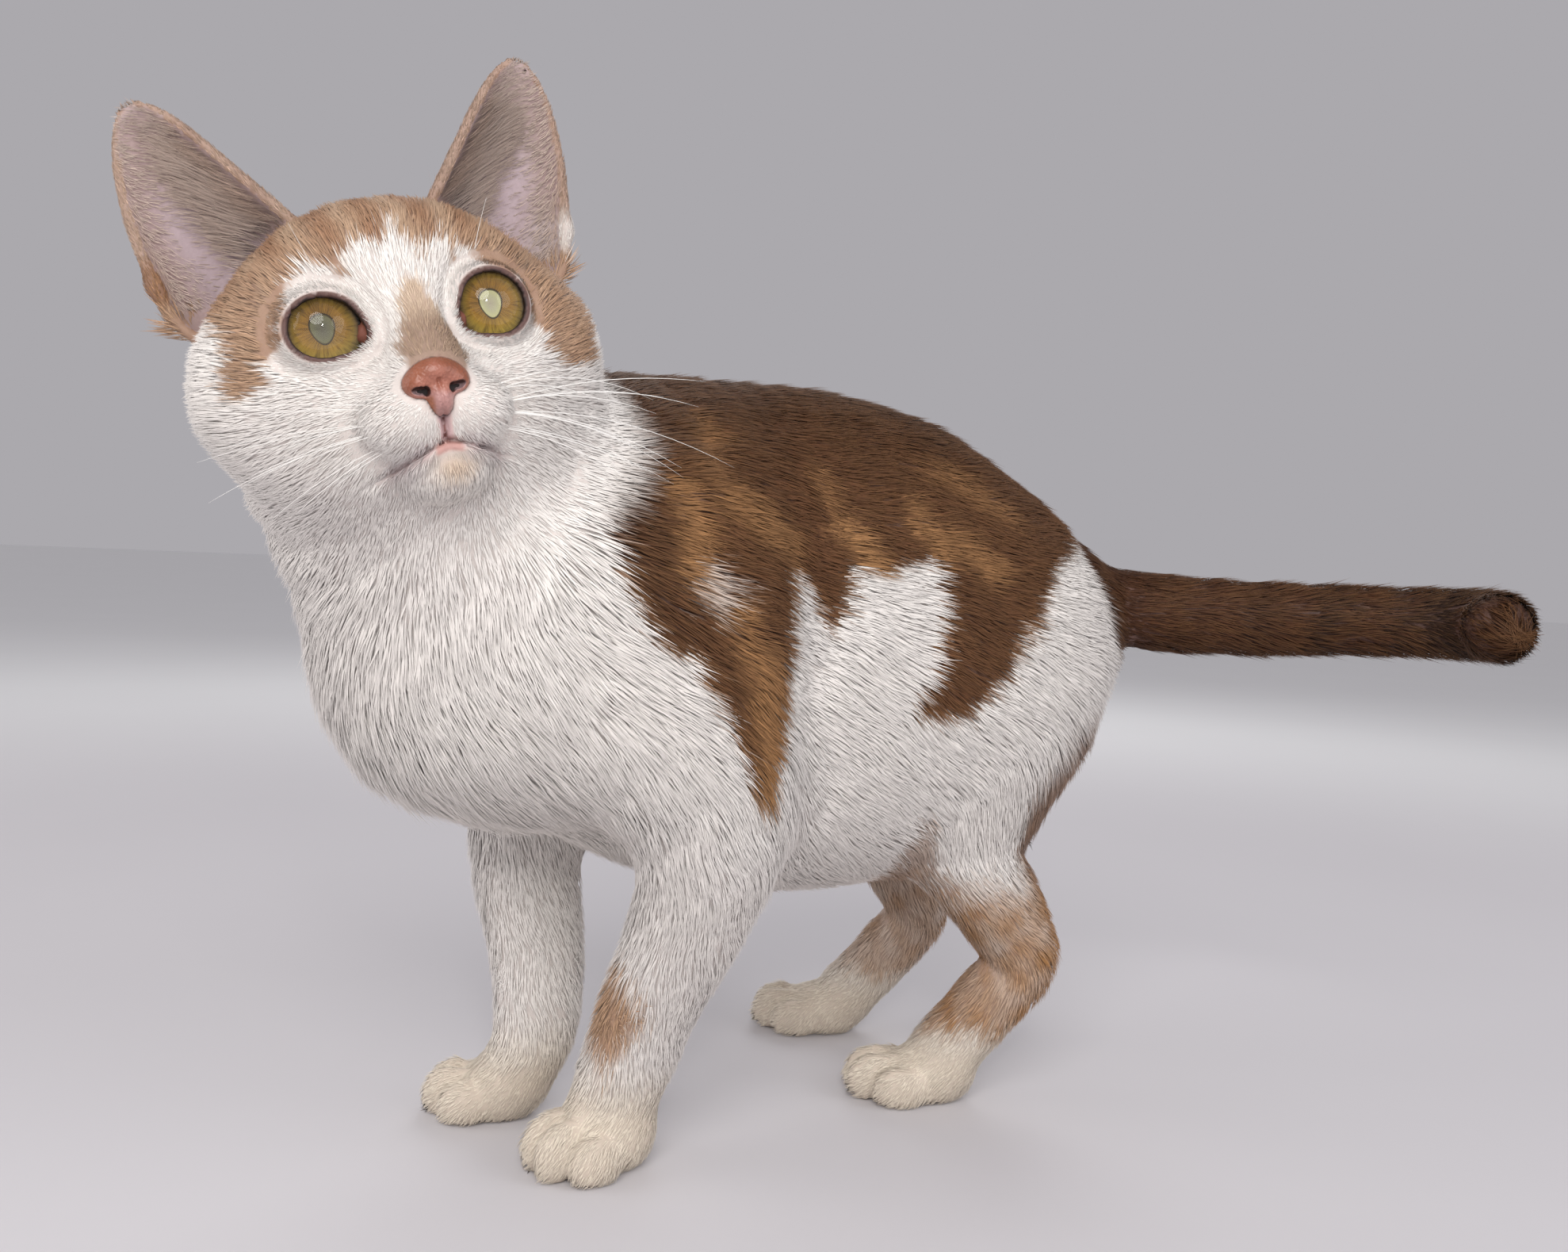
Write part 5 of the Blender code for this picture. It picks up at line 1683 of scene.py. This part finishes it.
def floor_material():
    made, tree, shader = material("floor", 0.7)
    place = node(tree, "ShaderNodeTexCoord")
    length = node(tree, "ShaderNodeVectorMath", operation="LENGTH")
    tree.links.new(place.outputs["Object"], length.inputs[0])
    far = ranged(tree, length.outputs["Value"], 0.5, 1.3, interpolation_type="SMOOTHSTEP")
    speckled(tree, shader, mixed(tree, (0.62, 0.60, 0.62), (0.92, 0.92, 0.92), far), 6, 0.98, 1.01)
    return made


def handed(obj, made, slot, *replaced):
    """Gives a piece its material, its body and the nodes that it replaces; the slot is not used."""
    obj.data.materials.append(made)
    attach(obj, "root")
    if replaced:
        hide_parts(*replaced)


# Stage


CAMERA_PLACE = np.array((326.0, -200.6, 165.6))
CAMERA_AZIMUTH, CAMERA_PITCH, CAMERA_ROLL, LENS = 49.7, 2.94, 2.94, 32.76
LIGHTS = (
    # name, place, size, power, colour
    ("key", (0.72, -0.78, 0.80), 0.8, 9.5, (1.0, 0.985, 0.965)),
    ("fill", (0.95, 0.45, 0.60), 1.0, 4.0, (0.97, 0.98, 1.0)),
    ("left", (-0.55, -0.95, 0.50), 0.9, 3.0, (1.0, 0.99, 0.98)),
    ("back", (-0.85, 0.75, 0.95), 0.9, 4.0, (1.0, 1.0, 1.0)),
    ("catch", (0.36, -0.30, 0.30), 0.05, 0.35, (1.0, 0.99, 0.97)),
)
FLOOR_SIZE, FLOOR_LEVEL = 16.0, -0.0002
# Where the lights point.
LIT_PLACE = (0, 0, 0.13)


def place_camera():
    camera = bpy.data.cameras.new("camera")
    camera.sensor_width, camera.lens = 36, LENS
    camera.clip_start, camera.clip_end = 0.02, 30
    obj = linked("camera", camera)
    azimuth, pitch, roll = (radians(angle) for angle in (CAMERA_AZIMUTH, CAMERA_PITCH, CAMERA_ROLL))
    look = Vector((-sin(azimuth) * cos(pitch), cos(azimuth) * cos(pitch), -sin(pitch)))
    right = Vector((cos(azimuth), sin(azimuth), 0))
    up = right.cross(look)
    rolled = right * cos(roll) + up * sin(roll)
    raised = up * cos(roll) - right * sin(roll)
    turn = Matrix((rolled, raised, -look)).transposed()
    obj.matrix_world = Matrix.Translation(Vector(CAMERA_PLACE - SHIFT) * MM) @ turn.to_4x4()
    bpy.context.scene.camera = obj


def place_stage():
    half = FLOOR_SIZE / 2
    mesh = bpy.data.meshes.new("floor")
    corners = [(x * half, y * half, FLOOR_LEVEL) for x, y in ((-1, -1), (1, -1), (1, 1), (-1, 1))]
    mesh.from_pydata(corners, [], [(0, 1, 2, 3)])
    mesh.materials.append(floor_material())
    linked("floor", mesh)
    for name, place, size, power, shade in LIGHTS:
        light = bpy.data.lights.new(name, "AREA")
        light.shape, light.size, light.energy, light.color = "DISK", size, power, shade
        turn = (Vector(LIT_PLACE) - Vector(place)).to_track_quat("-Z", "Y").to_matrix()
        linked(name, light).matrix_world = Matrix.Translation(place) @ turn.to_4x4()
    world = bpy.data.worlds.new("studio")
    world.use_nodes = True
    background = world.node_tree.nodes["Background"]
    background.inputs["Color"].default_value = (0.74, 0.72, 0.76, 1)
    background.inputs["Strength"].default_value = 0.55
    bpy.context.scene.world = world
    bpy.context.scene.view_settings.view_transform = "Standard"


def main():
    place_camera()
    place_stage()
    skin = build_skin()
    points = points_of(skin.data)
    local = in_head(points)
    shown, own, _ = bare(local)
    # The skin under the coat takes the coat's colours darkened as painted shade deep among the hairs, with a
    # little bare pink.
    under = blend(coat_colours(points, local) * 0.80, BARE_PINK, 0.12)
    painted(skin.data, blend(under, own, shown))
    flesh = [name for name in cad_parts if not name.startswith(("eye", "nose"))]
    handed(skin, skin_material(), "white_coat", *flesh)
    fur = fur_material()
    for piece, slot in build_coat(skin):
        handed(piece, fur, slot)
    inner, outer = eye_profiles()
    cornea = cornea_material()
    for word, side in (("left", 1), ("right", -1)):
        ball = dome(f"eyeball_{word}", inner, side)
        eye_attributes(ball, side)
        handed(ball, eye_material(word), "eye")
        front = dome(f"cornea_{word}", outer, side)
        front.visible_shadow = False
        handed(front, cornea, "eye", f"eye_{word}")
    nose = build_nose()
    painted(nose.data, nose_colours(in_head(points_of(nose.data))))
    handed(nose, nose_material(), "nose_leather", "nose")
    handed(build_whiskers(skin_function()), whisker_material(), "white_coat")


main()
